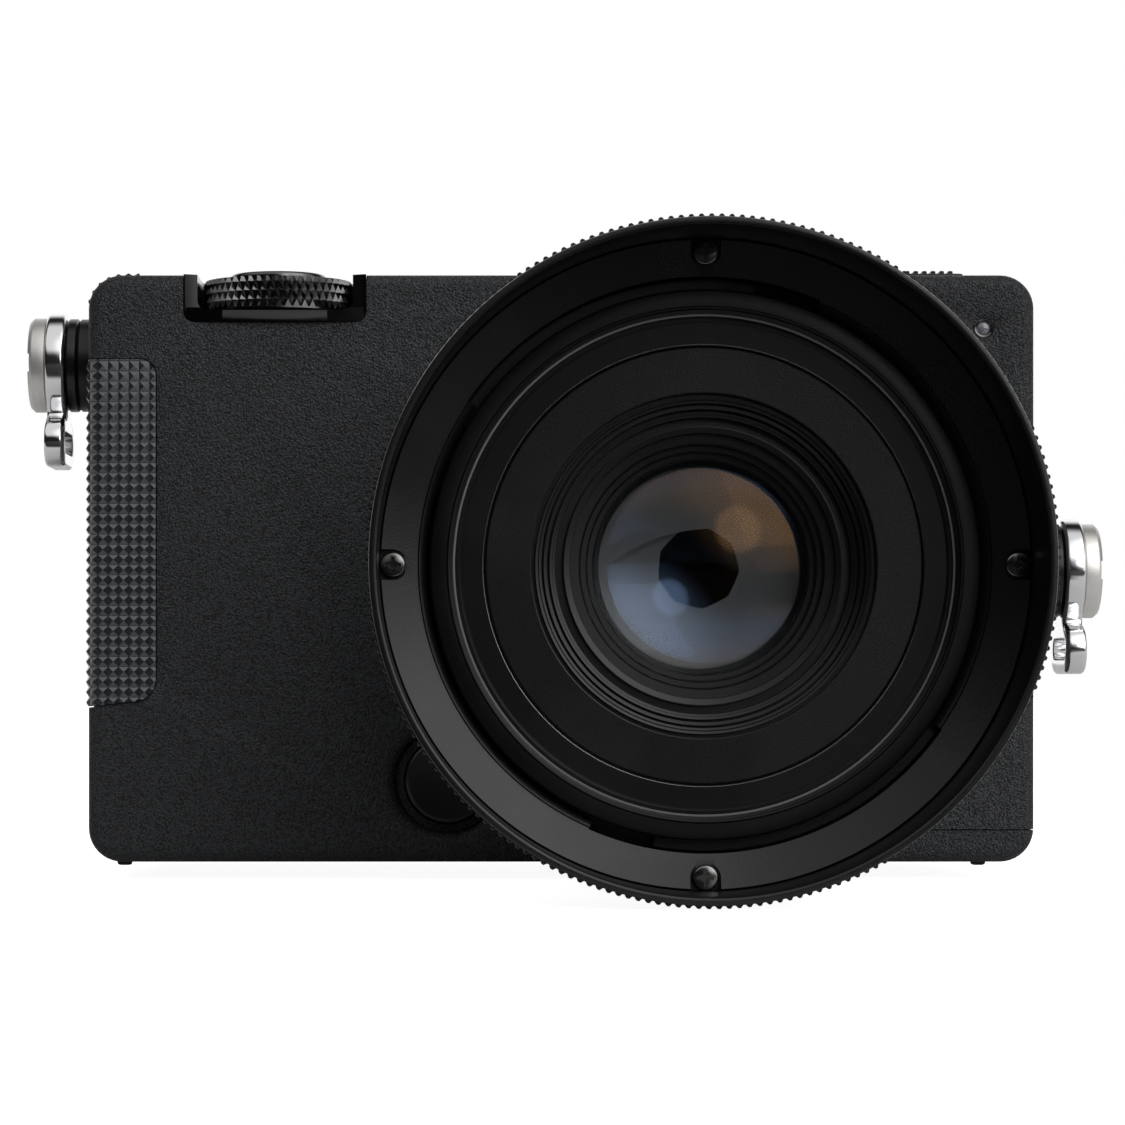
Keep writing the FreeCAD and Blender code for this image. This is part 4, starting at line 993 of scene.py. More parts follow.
record = lathe(
    "record_button_finish",
    outline_at(0, top, (0, 0.28), (1.2, 0.3), (2.2, 0.38), (2.55, 0.45))
    + quarter(0.3, (2.7, top + 0.2), 95, 0, 5) + [(3.0, top - 1.5), (0, top - 1.5)],
    64, "Z", (record_x, record_y, 0), closed=False)
smooth(record, 40)
fit(record, "record_button", record_red, "record_button")

# %% [markdown]
# The lens release is a dished button in a soft hollow. Its face is a shallow bowl, so it is turned from an
# outline like the lens parts. The focus lamp is a tiny domed window in a thin black ring, low in its dimple.

# %% The release button and the lamp
release_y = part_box("release_button")[0].y / MM
bowl = [(4.6 * n / 8, release_y + 0.32 * (1 - (n / 8) ** 2) + 0.02) for n in range(9)]
release = lathe(
    "release_button_finish",
    bowl + quarter(0.45, (4.62, release_y + 0.47), 270, 360, 5) + [(5.1, front + 2.1), (0, front + 2.1)],
    64, "Y", (release_x, 0, release_z), closed=False)
smooth(release, 40)
fit(release, "release_button", key_black, "release_button")

lamp_glow = finish("lamp_window", (0.17, 0.16, 0.185), 0.12, coat=1.0)
window = lathe(
    "focus_lamp_window",
    [(0.75 * n / 6, front + 0.22 + 0.25 * (n / 6) ** 2) for n in range(7)]
    + outline_at(0, front, (0.75, 3.0), (0, 3.0)), 32, "Y", (lamp_x, 0, lamp_z), closed=False)
smooth(window, 50)
fit(window, "camera", lamp_glow, "focus_lamp")
bezel = lathe(
    "focus_lamp_bezel",
    outline_at(0, front, (0.78, 0.45), (0.84, 0.3), (1.05, 0.24), (1.2, 0.34), (1.2, 1.5), (0.78, 1.5)),
    48, "Y", (lamp_x, 0, lamp_z))
smooth(bezel, 40)
fit(bezel, "camera", gloss_black, slot=slot_of["focus_lamp"])

# %% [markdown]
# The hood is the largest ring of all. Its grip has two hundred and thirteen small teeth. They come from one
# circle with four points for each tooth, which is extruded to a band. The outer pair of every four is then
# scaled out. That is much lighter than a separate tooth, and its edges run clean.

# %% Toothed bands
def toothed_band(name, tip, root, teeth, y0, y1, inside, bevel):
    """A closed band with flat-topped teeth round the lens axis."""
    centre = Vector((0, 0, axis_z)) * MM

    def scale_round(share):
        bpy.ops.transform.resize(value=(share, 1, share), center_override=centre)

    def pick_rim(place):
        pick(band, "verts", lambda vertex: abs(vertex.co.y - place * MM) < 1e-7 and hypot(
            vertex.co.x, vertex.co.z - axis_z * MM) > 0.999 * root * MM)

    band = start(
        name, bpy.ops.mesh.primitive_circle_add, vertices=4 * teeth, radius=root * MM, fill_type="NOTHING",
        location=(0, y0 * MM, axis_z * MM), rotation=(-pi / 2, 0, 0))
    bpy.ops.object.transform_apply(location=True, rotation=True)
    edit(band, "VERT")
    pick(band, "verts", lambda vertex: vertex.index % 4 in (1, 2))
    scale_round(tip / root)
    everything()
    here = y0
    for place in (y0 + bevel, y1 - bevel, y1):
        extrude((0, (place - here) * MM, 0))
        here = place
    extrude((0, 0, 0))
    scale_round(inside / root)
    pick_rim(y0)
    extrude((0, 0, 0))
    scale_round(inside / root)
    for place in (y0, y1):
        pick_rim(place)
        scale_round((root - bevel) / root)
    bpy.ops.mesh.select_mode(type="EDGE")
    pick(band, "edges", lambda edge: edge.is_boundary)
    bpy.ops.mesh.bridge_edge_loops()
    face_out()
    done()
    smooth(band, 28)
    return band


print("teeth can be made on any ring")

# %% [markdown]
# The rest of the hood is turned. A small chamfer at the mouth gives the thin bright line, the bore behind it
# is plain, and a dished flange closes the back down to the lens.

# %% The hood
hood_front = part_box("hood_ring")[0].y / MM
hood_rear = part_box("hood_ring")[1].y / MM
hood_tip = (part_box("hood_ring")[1].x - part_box("hood_ring")[0].x) / 2 / MM
hood_root = hood_tip - 0.33
hood_bore = hood_tip - 1.2
flange_y = hood_front + 12.8
flange_dish = 2.2
flange_hole = 29.6
ledge = 31.75


def flange_at(radius):
    """Where the front of the hood's flange lies at one radius."""
    return flange_y + (hood_bore - radius) / (hood_bore - flange_hole) * flange_dish


ring_steps = 240
hood = lathe(
    "hood_ring_finish",
    outline_at(hood_bore, hood_front, (0, 0.35), (0.06, 0.12), (0.2, 0.02), (0.3, 0))
    + outline_at(hood_root, hood_front, (-0.3, 0), (-0.08, 0.06), (0, 0.3), (0, 0.72), (-0.15, 0.8),
                 (-0.2, 0.82), (-0.2, 4.9), (0, 5.0))
    + outline_at(hood_root, hood_rear, (0, -4.2), (-0.1, -4.0))
    + outline_at(ledge, hood_rear, (1.4, -0.1), (1.3, 0), (0, 0))
    + [(ledge, flange_at(ledge) + 1.35), (hood_bore, flange_y + 1.35)], ring_steps)
smooth(hood, 25)
teeth = toothed_band(
    "hood_teeth", hood_tip, hood_root, 213, hood_front + 0.8, hood_front + 4.8, hood_bore + 0.35, 0.18)
hood = join([hood, teeth], "hood_ring_finish")
fit(hood, "hood", hood_paint, "hood_ring")

# %% [markdown]
# The flange is turned too, then milled: two long reliefs at the edge let the lens's bayonet tabs in, and four
# round pockets take the screws. A sector is an outline with a face in it, swept through part of a turn.

# %% The hood flange
def sector(name, outline, middle_turn, width, steps=48):
    """Part of a ring: an outline filled with a face and swept about the lens axis."""
    low = radians(middle_turn - width / 2)
    piece = first_vertex(name)
    centre = Vector((0, 0, axis_z))
    trace([centre + Vector((radius * cos(low), place, radius * sin(low))) for radius, place in outline])
    everything()
    bpy.ops.mesh.edge_face_add()
    bpy.ops.mesh.spin(steps=steps, angle=radians(width), center=centre * MM, axis=(0, -1, 0))
    close_up(1e-7)
    return piece


hook_centres = (4.75, 184.75)
rear_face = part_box("hood_flange")[1].y / MM
flange_back = -65.7
lip = flange_hole + 0.85
recess_edge = 31.65
flange = lathe(
    "hood_flange_finish",
    outline_at(hood_bore, flange_y, (-0.08, 0.14), (-0.22, 0.02)) + [(lip + 0.12, flange_at(lip + 0.12))]
    + outline_at(lip, flange_at(lip), (0.04, 0.12), (-0.04, 0.04))
    + outline_at(flange_hole, flange_at(flange_hole), (0.15, -0.02), (0, 0.12))
    + [(flange_hole, flange_back), (30.8, flange_back), (30.8, rear_face), (recess_edge, rear_face),
       (recess_edge, flange_at(recess_edge) + 1.3), (hood_bore - 0.08, flange_y + 1.3)], ring_steps)
screw_circle = 33.2
screw_seat = flange_y + 1.2
pocket_radius = 1.63
relief = [(28.6, flange_y - 1), (30.7, flange_y - 1), (30.7, flange_back + 0.1), (28.6, flange_back + 0.1)]
cut(flange, *[sector("relief", relief, turn, 79) for turn in hook_centres])
for number in range(4):
    x, z = screw_circle * cos(pi * number / 2), screw_circle * sin(pi * number / 2)
    pocket = rod("pocket", pocket_radius, (x, screw_seat - 2, axis_z + z), "Y", 4, 40)
    place = Vector((x, z))
    out = place.normalized()
    across = Vector((out.y, out.x)) * pocket_radius
    ends = (place - across, place + across + out * 4)
    low_x, high_x = sorted(end.x for end in ends)
    low_z, high_z = sorted(end.y for end in ends)
    cut(flange, pocket, block("pocket_mouth", (low_x, screw_seat - 4, axis_z + low_z),
                              (high_x, screw_seat, axis_z + high_z)))
soften(flange, 0.06, 40)
fit(flange, "hood", hood_paint, "hood_flange")

# %% [markdown]
# Each hood screw is a small domed screw with a cross recess. One is modelled in full, and three copies are
# turned about the lens axis.

# %% The hood screws
def cross_screw(name):
    head = lathe(
        name, outline_at(0, screw_seat, (0, -0.95), (0.5, -0.95), (1.0, -0.9))
        + quarter(0.3, (1.08, screw_seat - 0.58), 270, 360, 4)
        + outline_at(0, screw_seat, (1.38, 0), (0.8, 0), (0.8, 2), (0, 2)),
        40, "Y", (screw_circle, 0, axis_z), closed=False)
    for half_x, half_z in ((0.85, 0.2), (0.2, 0.85)):
        cut(head, block("cross", (screw_circle - half_x, screw_seat - 2, axis_z - half_z),
                        (screw_circle + half_x, screw_seat - 0.35, axis_z + half_z)))
    cut(head, rod("cross_centre", 0.42, (screw_circle, screw_seat - 1.2, axis_z), "Y", 1.8, 24))
    soften(head, 0.05, 40, 1)
    return head


screws = [cross_screw("hood_screw")]
for number in (1, 2, 3):
    only(screws[0])
    bpy.ops.object.duplicate()
    bpy.context.object.data.transform(
        Matrix.Translation((0, 0, axis_z * MM)) @ Matrix.Rotation(pi * number / 2, 4, "Y")
        @ Matrix.Translation((0, 0, -axis_z * MM)))
    screws.append(bpy.context.object)
screws = join(screws, "hood_screws_finish")
fit(screws, "hood", screw_black, "hood_screws")

# %% [markdown]
# The lens barrel is one turned tube. Its outline runs from the mounting face over the seats of both rings to
# the rim, down the filter thread and back inside to the iris. The thread is drawn as fine ridges. Two thin
# rings are painted highlight lines: a grey line at the foot of the thread, and a bright metal one in the
# groove between the rim's face and the baffle.

# %% The lens barrel
flange_face = front - 4.0
rim_y = flange_face - 46.2
filter_floor = rim_y + 2.6
iris_y = filter_floor + 10.9
iris_window = 10.6
window_y = filter_floor + 8.57


def at(distance):
    """A place on the lens, by its distance from the mounting face."""
    return flange_face - distance


thread = []
for number in range(3):
    y = rim_y + 0.45 + 0.65 * number
    thread += [(27.1, y), (26.82, y + 0.2), (26.82, y + 0.3), (27.1, y + 0.5)]
barrel = lathe(
    "lens_barrel_finish",
    [(radius, at(distance)) for radius, distance in (
        (30.0, 1.65), (30.85, 4.2), (31.0, 4.4), (28.0, 4.4), (28.0, 12.6), (31.3, 12.6), (31.5, 12.8),
        (31.5, 19.6), (31.3, 19.8), (28.7, 19.8), (28.7, 35.0), (31.3, 35.0), (31.5, 35.2), (31.5, 39.6),
        (30.9, 40.4), (29.3, 40.4))]
    + outline_at(0, rim_y, (29.3, 0.35), (29.2, 0.2), (29.05, 0.12), (27.5, 0.12), (27.44, 0.04), (27.35, 0),
                 (27.25, 0), (27.16, 0.04), (27.1, 0.15)) + thread
    + outline_at(0, filter_floor, (27.1, 0.2), (27.0, 0.2), (26.98, -0.14), (26.84, -0.25), (26.2, -0.25),
                 (26.0, -0.1), (25.9, 0), (23.6, 0), (23.45, 0.15), (23.45, 1.25), (20.5, 1.25), (20.5, 6.4),
                 (12.65, 6.4))
    + [(12.65, window_y)] + outline_at(iris_window, window_y, (0, 0), (-0.1, 0.2), (0, 0.4))
    + [(17.7, window_y + 0.4), (17.7, iris_y), (8.0, iris_y), (8.0, iris_y + 1.0), (16.0, iris_y + 1.0)]
    + [(radius, at(distance)) for radius, distance in (
        (16.0, 9.0), (14.1, 9.0), (14.1, 4.5), (17.0, 4.5), (17.0, 1.65))], ring_steps)
hood_tab = [(29.0, at(43.4)), (30.45, at(43.4)), (30.45, at(42.1)), (29.0, at(42.1))]
for turn in hook_centres:
    combine(barrel, sector("hood_tab", hood_tab, turn, 70), "UNION")
switch_y = at(16.2)
cut(barrel, block("switch_bed", (29.9, switch_y - 2.6, axis_z - 4.6), (34, switch_y + 2.6, axis_z + 4.6)))
smooth(barrel, 30)
fit(barrel, "camera", lens_paint, "lens_barrel")
# Two thin rings painted as highlight lines, lighter than the black paint around them.
for name, points, material in (
        ("thread_foot_line", ((26.82, -0.2), (26.82, -0.3), (26.65, -0.36), (26.6, -0.36), (26.6, -0.2)),
         grey_highlight_line),
        ("face_groove_line", ((23.64, -0.015), (23.46, 0.09), (23.46, 0.3), (23.64, 0.3)), metal_highlight_line)):
    line = lathe(name, outline_at(0, filter_floor, *points), ring_steps)
    smooth(line, 60)
    fit(line, "camera", material, slot=slot_of["lens_barrel"])

# %% [markdown]
# The two rings turn on the barrel. Each is a toothed band between two plain rims, with a plain sleeve under
# it. The focus switch is a small sliding knob with a groove for the thumbnail.

# %% The focus ring, the aperture ring and the focus switch
def grip_ring(name, node_name, core, tip, tooth, teeth, start_at, end_at, rim):
    y0, y1 = at(end_at - 0.2), at(start_at + 0.2)
    root = tip - tooth
    bore = core + 0.3
    sleeve = lathe(
        name, [(bore, y0)]
        + outline_at(root, y0, (-0.45, 0), (-0.12, 0.12), (0, 0.4), (0, rim - 0.15), (-0.25, rim))
        + outline_at(root, y1, (-0.25, -rim), (0, -rim + 0.15), (0, -0.4), (-0.12, -0.12), (-0.45, 0))
        + [(bore, y1)], ring_steps)
    smooth(sleeve, 30)
    band = toothed_band(name + "_band", tip, root, teeth, y0 + rim + 0.05, y1 - rim - 0.05, root - 0.6, 0.2)
    ring = join([sleeve, band], name)
    return fit(ring, node_name, lens_paint, node_name)


grip_ring("aperture_ring_finish", "aperture_ring", 28.0, 31.3, 0.35, 72, 4.4, 12.6, 1.0)
grip_ring("focus_ring_finish", "focus_ring", 28.7, 32.0, 0.4, 96, 19.8, 35.0, 1.6)

switch = block("focus_switch_finish", (30.1, switch_y - 2.3, axis_z - 1.2),
               (32.3, switch_y + 2.3, axis_z + 4.3))
round_edges(switch, 0, 0.6, 5)
cut(switch, block("nail_groove", (31.9, switch_y - 3, axis_z + 1.2), (34, switch_y + 3, axis_z + 1.9)))
soften(switch, 0.12)
fit(switch, "focus_switch", key_black, "focus_switch")

# %% [markdown]
# Behind the filter thread lies the baffle. A flat grained ring comes first, then three sharp ridges, a broad
# one and three narrow steps down to the glass. Their tops slope inwards, so those on the left catch the lamp
# on the right, and deep black grooves lie between them. It is all turned from one outline.

# %% The baffle
flat_ring = [(23.35, 1.2), (23.35, 0.12), (23.2, 0.0), (18.6, 0.0), (18.46, 0.1), (18.44, 0.9), (18.06, 0.9)]
twin_ridge = [(18.0, 0.3), (17.74, 0.42), (17.7, 0.62), (17.65, 0.62), (17.62, 0.5), (17.38, 0.62),
              (17.34, 1.5), (17.14, 1.5)]
sharp_ridge = [(17.1, 0.72), (16.76, 0.92), (16.72, 1.9), (16.5, 1.9)]
third_ridge = [(16.46, 1.1), (16.2, 1.22), (16.16, 1.34), (15.92, 1.46), (15.86, 2.6), (15.08, 2.6)]
broad_ridge = [(15.02, 2.15), (14.9, 2.1), (14.3, 2.34), (14.24, 3.2)]
narrow_steps = [(13.28, 3.3), (13.22, 3.2), (13.08, 3.34), (13.04, 4.1), (12.52, 4.15), (12.46, 4.05),
                (12.33, 4.18), (12.28, 5.0), (11.78, 5.05), (11.72, 4.95), (11.57, 5.1), (11.47, 5.4),
                (11.47, 5.75), (11.6, 5.9)]
hidden_back = [(14.5, 6.1), (19.96, 1.6), (19.96, 1.2)]
baffle_outline = outline_at(0, filter_floor, *(
    flat_ring + twin_ridge + sharp_ridge + third_ridge + broad_ridge + narrow_steps + hidden_back))
baffle = lathe("front_baffle_finish", baffle_outline, ring_steps)
smooth(baffle, 25)
fit(baffle, "camera", trap_paint, "front_baffle")

# %% [markdown]
# The front element bulges towards us and its rear face bulges away, so one face mirrors a lamp on its own
# side and the other on the far side. Real coatings tint those two reflections, warm in front and blue behind.
# Shadow rays pass straight through, so that the blades behind the glass are lit.

# %% The glass
def coated_glass(name, tint, strength):
    material, tree, shader = plain_material(name, {
        "Base Color": (0.9, 0.93, 0.95, 1), "Roughness": 0.0, "Transmission Weight": 1.0, "IOR": strength,
        "Specular Tint": (*tint, 1)})
    shadow = node(tree, "LightPath").outputs["Is Shadow Ray"]
    plug(tree, maths(tree, "SUBTRACT", 1.0, shadow), shader.inputs["Alpha"])
    return material


def element(name, radius, vertex, curve, thickness, rear_curve):
    """A lens element: two bowls joined by a plain edge. A negative rear curve bulges to the rear."""
    outline = []
    for number in range(25):
        r = radius * number / 24
        outline.append((r, vertex + curve - sqrt(curve ** 2 - r ** 2)))
    for number in range(24, -1, -1):
        r = radius * number / 24
        sag = abs(rear_curve) - sqrt(rear_curve ** 2 - r ** 2)
        outline.append((r, vertex + thickness + (sag if rear_curve > 0 else -sag)))
    return lathe(name, outline, 96, closed=False)


warm_coating = coated_glass("warm_coated_glass", (1.0, 0.55, 0.22), 1.42)
cool_coating = coated_glass("cool_coated_glass", (0.42, 0.6, 1.0), 1.6)
front_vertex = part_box("front_glass")[0].y / MM
front_glass = element("front_glass_finish", 12.6, front_vertex, 34.0, 4.4, -52.0)
smooth(front_glass, 40)
fit(front_glass, "camera", warm_coating, "front_glass")
front_glass.data.materials.append(cool_coating)
edit(front_glass, "FACE")
pick(front_glass, "faces", lambda face: face.normal.y > 0.3)
front_glass.active_material_index = 1
bpy.ops.object.material_slot_assign()
done()
rear_glass = element("rear_glass_finish", 14.05, at(8.9), 60.0, 2.4, 60.0)
smooth(rear_glass, 40)
fit(rear_glass, "camera", cool_coating, "rear_glass")

# %% [markdown]
# The blades keep their engineered shape, because it is exact and each one moves. They only get the satin
# grey-black of blackened spring steel. The mount, the bayonet and the lock pin are dressed copies in steel.

# %% The iris, the mount and the inner parts
paint_node(blade_black, *["iris_blade_%d" % number for number in range(1, 10)])
for name, body in (("mount_ring", "camera"), ("lens_bayonet", "camera"), ("lock_pin", "lock_pin")):
    dressed_copy(name, body, steel, 0.08)

# %% [markdown]
# Behind the casing come the cover, the finned heat sink and the screen unit. The shapes of the cover and the
# fins are right, so both are dressed copies. The screen unit is built anew, with pockets for its controls.

# %% The back
dressed_copy("back_cover", "camera", body_paint, 0.12)
dressed_copy("heat_sink", "camera", sink_black, 0.15)

screen_low, screen_high = (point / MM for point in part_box("screen_frame"))
glass_low, glass_high = (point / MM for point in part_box("screen_glass"))
screen_back = screen_high.y
dial_rear_x, dial_rear_z = -52.5, 37.0
quick_x, quick_z = dial_rear_x, 57.5
row_z = 7.8
rows = {"menu_button": -13.0, "tone_button": 2.0, "view_button": 17.0, "play_button": 32.0}


key_length, key_height = 7.0, 3.4


def pill(name, x, y0, y1, grow=0.0):
    """A key of the lower row, or its pocket where it is grown."""
    half_length, half_height = key_length / 2, key_height / 2
    shape = block(name, (x - half_length - grow, y0, row_z - half_height - grow),
                  (x + half_length + grow, y1, row_z + half_height + grow))
    round_edges(shape, 1, half_height + grow - 0.01, 10)
    return shape


housing = block("screen_housing_finish", screen_low, screen_high)
round_edges(housing, 1, corner, 10)
bevel_edges(housing, lambda edge: all(v.co.y > screen_high.y * MM - HAIR for v in edge.verts), 1.0, 5)
recess = block("glass_recess", (glass_low.x - 0.1, screen_back - 0.9, glass_low.z - 0.1),
               (glass_high.x + 0.1, screen_back + 1, glass_high.z + 0.1))
round_edges(recess, 1, 1.5, 6)
cut(housing, recess, rod("dial_pocket", 10.3, (dial_rear_x, screen_back - 1.8 + 2.5, dial_rear_z), "Y", 5, 96),
    rod("quick_pocket", 2.95, (quick_x, screen_back - 2.3 + 2.5, quick_z), "Y", 5, 48),
    *[pill("row_pocket", x, screen_back - 2.3, screen_back + 1, 0.15) for x in rows.values()])
soften(housing, 0.12, 40)
fit(housing, "camera", screen_paint, "screen_frame")

pane = block("screen_pane", glass_low, glass_high)
round_edges(pane, 1, 1.4, 6)
soften(pane, 0.15, 40)
fit(pane, "camera", screen_black, "screen_glass")

# %% [markdown]
# The rear dial has fine straight teeth, so it uses the toothed band again, moved from the lens axis to its
# own place. The buttons are slightly dished so that a finger finds them.

# %% The rear controls
rear_low, rear_high = (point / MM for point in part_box("rear_dial"))
wheel = lathe(
    "rear_dial_finish",
    outline_at(0, rear_low.y, (5.2, 0), (9.5, 0), (9.6, 0.1))
    + outline_at(0, rear_high.y, (9.6, -0.45), (9.3, -0.12), (8.9, 0), (8.5, -0.02), (7.0, -0.3), (5.6, -0.3),
                 (5.3, -0.4), (5.2, -0.6)), 120, "Y", (dial_rear_x, 0, dial_rear_z))
smooth(wheel, 35)
wheel_teeth = toothed_band("rear_dial_teeth", 10.0, 9.7, 60, rear_low.y + 0.1, rear_high.y - 0.2, 9.0, 0.15)
wheel_teeth.data.transform(Matrix.Translation((dial_rear_x * MM, 0, (dial_rear_z - axis_z) * MM)))
wheel = join([wheel, wheel_teeth], "rear_dial_finish")
fit(wheel, "rear_dial", dial_black, "rear_dial")


def dished_button(name, radius, x, z, y0, y1):
    outline = [(0, y0), (radius, y0)] + quarter(0.35, (radius - 0.35, y1 - 0.35), 0, 90, 4)
    outline += [(radius * 0.7, y1 - 0.05), (radius * 0.35, y1 - 0.14), (0, y1 - 0.17)]
    piece = lathe(name, outline, 48, "Y", (x, 0, z), closed=False)
    smooth(piece, 40)
    return piece


for name, radius, x, z in (
        ("select_button", 4.9, dial_rear_x, dial_rear_z), ("quick_button", 2.8, quick_x, quick_z)):
    low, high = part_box(name)
    fit(dished_button(name + "_finish", radius, x, z, low.y / MM, high.y / MM), name, key_black, name)
for name, x in rows.items():
    low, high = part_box(name)
    key = pill(name + "_finish", x, low.y / MM, high.y / MM)
    soften(key, 0.3, 40, 3)
    fit(key, name, key_black, name)

# %% [markdown]
# Doors, latch, sockets, card and battery are simple plates and blocks. Merged copies with broken edges are
# enough for them, and each keeps its own body, so that the doors still open.

# %% Doors and what is behind them
for name, body, material, width in (
        ("port_door", "port_door", screen_paint, 0.15), ("battery_door", "battery_door", body_paint, 0.12),
        ("battery_latch", "battery_latch", key_black, 0.08), ("battery", "camera", cell_case, 0.15),
        ("memory_card", "camera", cell_case, 0.1), ("port_sockets", "camera", steel, 0.06),
        ("main_board", "camera", board_green, 0.05), ("image_sensor", "camera", sensor_glass, 0.05)):
    dressed_copy(name, body, material, width, 2)

# %% [markdown]
# The strap fittings are polished hardware. On each side a black boss and washers carry a chromed plate, held
# by a satin coin screw. The round parts are turned about the screw's axis. The slot is a bite of a large
# round cutter, so it is deepest in the middle.

# %% The strap fittings
plate_thick = 2.4
washer_thick = 1.37
washer_pitch = 1.4
fine_gap = 0.05
slot_radius = 17.0
slot_depth = 1.1


def outward(side, reach):
    return (left if side < 0 else right) + side * reach


def outline_out(side, *points):
    """An outline whose places are counted outwards from the body's own side."""
    return [(radius, outward(side, reach)) for radius, reach in points]


def eyelet_plate(name, x0, z):
    """One outline for the ring, the neck and the strap bar, extruded to a plate with rounded edges."""
    half = [(6.4 * sin(turn), 6.4 * cos(turn)) for turn in (radians(n * 142 / 28) for n in range(29))]
    half += [(3.45, -5.6), (3.3, -6.0), (3.5, -6.5)]
    half += [(4.0 + 3.0 * sin(turn), -9.6 + 3.0 * cos(turn)) for turn in (radians(n * 15) for n in range(13))]
    outline = [(strap_y - across, z + up) for across, up in half]
    outline += [(strap_y + across, z + up) for across, up in reversed(half[1:])]
    plate = first_vertex(name)
    trace([Vector((x0, y, up)) for y, up in outline])
    everything()
    bpy.ops.mesh.edge_face_add()
    extrude((plate_thick * MM, 0, 0))
    face_out()
    done()
    bevel_edges(plate, lambda edge: not runs_along(edge, 0), 0.5, 6)
    smooth(plate, 50)
    return plate


bosses, washers, coin_screws = [], [], []
for side, z, count, node_name in ((-1, strap_left_z, 1, "eyelet_left"), (1, strap_right_z, 2, "eyelet_right")):
    centre = (0, strap_y, z)
    bosses.append(lathe("boss", outline_out(
        side, (3.175, -3.5), (4.2, -3.5), (4.2, 0.02), (5.65, 0.02), (5.65, 2.0), (5.4, 2.24), (3.175, 2.24)),
        96, "X", centre))
    for number in range(count):
        low = 2.28 + washer_pitch * number
        washers.append(lathe("washer", outline_out(
            side, (3.2, low), (5.45, low), (5.68, low + 0.22), (5.7, low + 0.7), (5.68, low + 1.14),
            (5.45, low + washer_thick), (3.2, low + washer_thick)), 96, "X", centre))
    plate = 2.26 + washer_pitch * count + fine_gap
    head = plate + plate_thick + fine_gap
    end = head + 2.1
    screw = lathe("coin_screw", outline_out(
        side, (0, 1.0), (3.1, 1.0), (3.1, head), (5.6, head), (5.75, head + 0.12), (5.75, end - 0.55),
        (5.68, end - 0.45), (5.3, end - 0.04), (5.15, end), (0, end)), 128, "X", centre, closed=False)
    slot_x = outward(side, end - slot_depth + slot_radius)
    cut(screw, rod("slot_cutter", slot_radius, (slot_x, strap_y, z), "Z", 2.2, 256))
    soften(screw, 0.06, 40, 2)
    coin_screws.append(screw)
    x0, x1 = sorted((outward(side, plate), outward(side, plate + plate_thick)))
    middle_x = (x0 + x1) / 2
    eyelet = eyelet_plate(node_name + "_finish", x0, z)
    slot_tool = block("strap_slot", (x0 - 1, strap_y - 5, z - 10.9), (x1 + 1, strap_y + 5, z - 8.3))
    round_edges(slot_tool, 0, 1.25, 8)
    cut(eyelet, slot_tool, rod("screw_hole", 3.17, (middle_x, strap_y, z), "X", 6, 64))
    soften(eyelet, 0.15, 40, 2)
    fit(eyelet, node_name, chrome, node_name)
for pieces, name, material, node_name in (
        (bosses, "strap_bosses_finish", boss_black, "strap_sockets"),
        (washers, "strap_washers_finish", washer_black, "strap_washers"),
        (coin_screws, "coin_screws_finish", nickel, "strap_screws")):
    piece = join(pieces, name)
    if pieces is not coin_screws:
        smooth(piece, 35)
    fit(piece, "camera", material, node_name)

# %% [markdown]
# One large soft lamp stands high in front on the right, and gives the shadows a direction. It is weak enough
# that a colour renders about as it is written.

# %% The lamp
key_place = Vector((0.60, -0.70, 0.60))
aim = Vector((-14, -20, 36)) * MM
bpy.ops.object.select_all(action="DESELECT")
bpy.ops.object.light_add(
    type="AREA", location=key_place, rotation=(aim - key_place).to_track_quat("-Z", "Y").to_euler())
lamp = bpy.context.object
lamp.name = "key_light"
lamp.data.shape = "RECTANGLE"
lamp.data.size = lamp.data.size_y = 0.9
lamp.data.energy = 1.6
print("lamp is", round(key_place.length, 2), "m away")

# %% [markdown]
# The photograph stands on pure white, but black things need a dark room to look black. So the room is white
# to the camera, and the part of it behind the object also to what metal and glass mirror or let through. To
# the rest of the object it is a tent with white cards above and on the right and a soft glow round the lamp,
# dark in front, on the left and behind. A small spot stands near the camera, and the glass mirrors it twice.

# %% The room
world = bpy.context.scene.world or bpy.data.worlds.new("room")
bpy.context.scene.world = world
world.use_nodes = True
tree = world.node_tree
tree.nodes.clear()
place = place_on(tree, "Generated")
x, y, z = node(tree, "SeparateXYZ", Vector=place).outputs


def lobe(way, low, high, strength):
    """Light from round one direction: how well a ray points that way, mapped to a strength."""
    facing = node(tree, "VectorMath", operation="DOT_PRODUCT")
    plug(tree, place, facing.inputs[0])
    plug(tree, way.normalized(), facing.inputs[1])
    return spread(tree, facing.outputs["Value"], low, high, 0.0, strength)


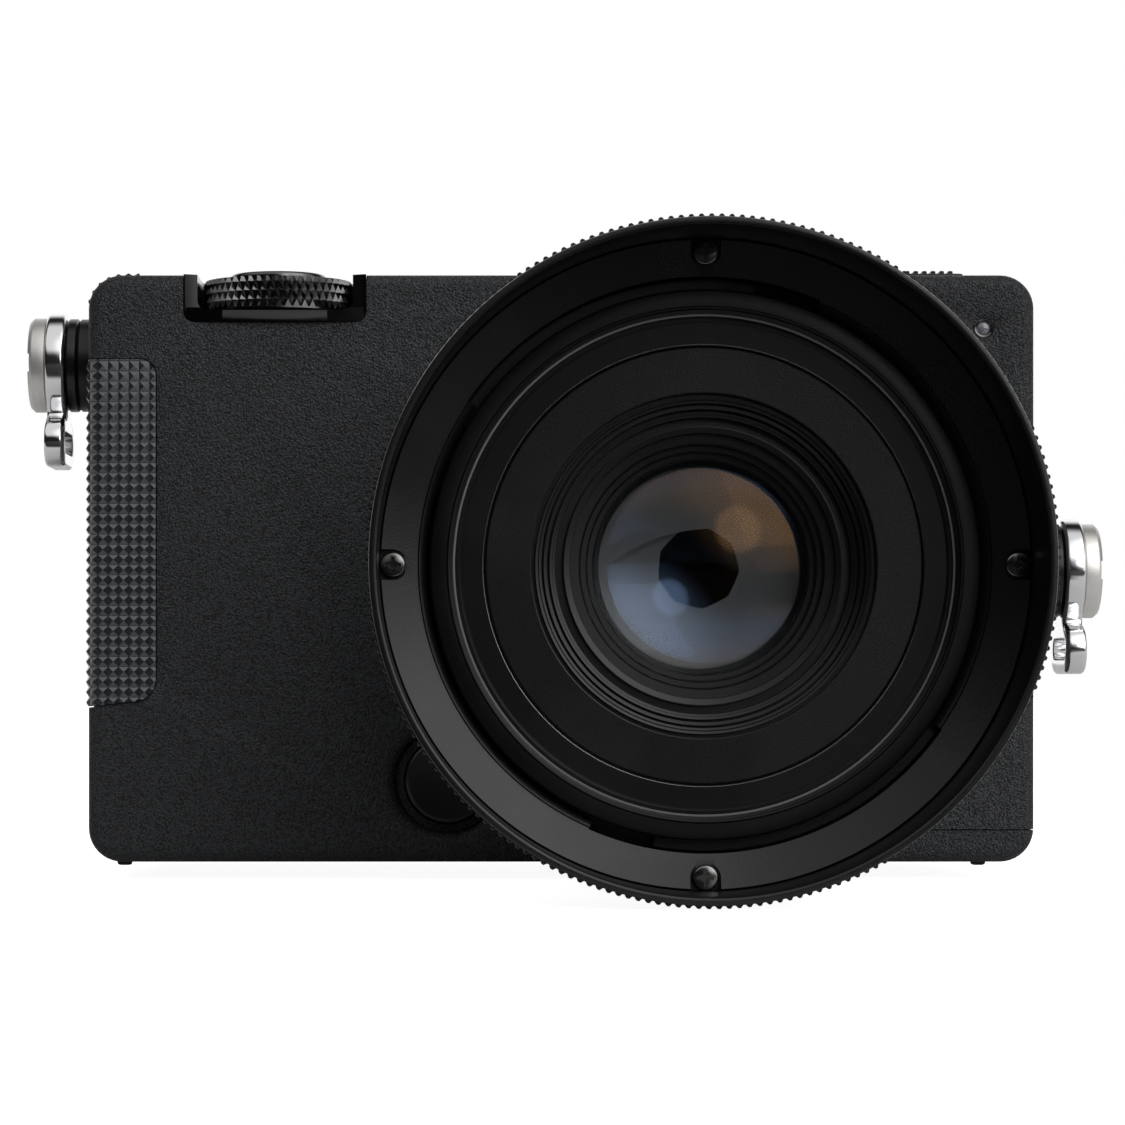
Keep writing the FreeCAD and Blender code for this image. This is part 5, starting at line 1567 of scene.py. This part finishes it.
low_fade = spread(tree, z, -0.05, 0.35, 0.55, 1.0)
above_or_right = maths(tree, "MAXIMUM", times(tree, x, low_fade), z)
cards = spread(tree, above_or_right, 0.3, 0.55, 0.0, 0.66)
ahead = spread(tree, times(tree, y, -1.0), -0.35, 0.05, 0.0, 1.0)
glow = lobe(key_place, 0.72, 0.99, 1.1)
spot_lamp = lobe(Vector((0.30, -0.915, 0.27)), 0.984, 0.994, 1.8)
tent = maths(tree, "ADD", times(tree, maths(tree, "ADD", cards, glow), ahead), 0.012)
rays = node(tree, "LightPath").outputs
mirrored = maths(tree, "MAXIMUM", rays["Is Glossy Ray"], rays["Is Transmission Ray"])
behind = spread(tree, y, 0.5, 0.85, 0.0, 1.0)
backdrop = maths(tree, "MAXIMUM", rays["Is Camera Ray"], times(tree, mirrored, behind))
strength = maths(tree, "MAXIMUM", backdrop, maths(tree, "ADD", tent, spot_lamp))
room_light = node(tree, "Background", Color=(1, 1, 1, 1), Strength=strength)
node(tree, "OutputWorld", Surface=room_light.outputs[0])
print("room has", len(tree.nodes), "nodes")

# %% [markdown]
# The floor is white paper. Its own faint glow, seen by the camera alone, lifts it to the white of the
# backdrop, and the object's shadow stays. Mirrors see a dark card on the floor in front, which draws the black
# band across the chrome.

# %% The floor
floor_z = cad_box[0][2]
ground = start("ground", bpy.ops.mesh.primitive_plane_add, size=12, location=(0, 0, floor_z - 0.0001))
paper, tree, shader = plain_material("white_paper", {
    "Roughness": 0.9, "Specular IOR Level": 0.1, "Emission Color": (1, 1, 1, 1)})
rays = node(tree, "LightPath").outputs
plug(tree, times(tree, rays["Is Camera Ray"], 0.94), shader.inputs["Emission Strength"])
x, y, z = node(tree, "SeparateXYZ", Vector=place_on(tree)).outputs
in_front = spread(tree, y, -0.13, -0.09, 1.0, 0.0)
not_right = spread(tree, x, 0.03, 0.09, 1.0, 0.0)
far_front = spread(tree, y, -0.20, -0.15, 1.0, 0.0)
card_area = maths(tree, "MAXIMUM", times(tree, in_front, not_right), far_front)
dark_card = times(tree, card_area, rays["Is Glossy Ray"])
paper_tone = node(tree, "MixRGB", Color1=(0.8, 0.8, 0.8, 1), Color2=(0.03, 0.03, 0.03, 1), Fac=dark_card)
plug(tree, paper_tone.outputs["Color"], shader.inputs["Base Color"])
ground.data.materials.append(paper)
print("floor at", round(floor_z / MM, 2), "mm")

# %% [markdown]
# Last nothing is left selected.


bpy.ops.object.select_all(action="DESELECT")
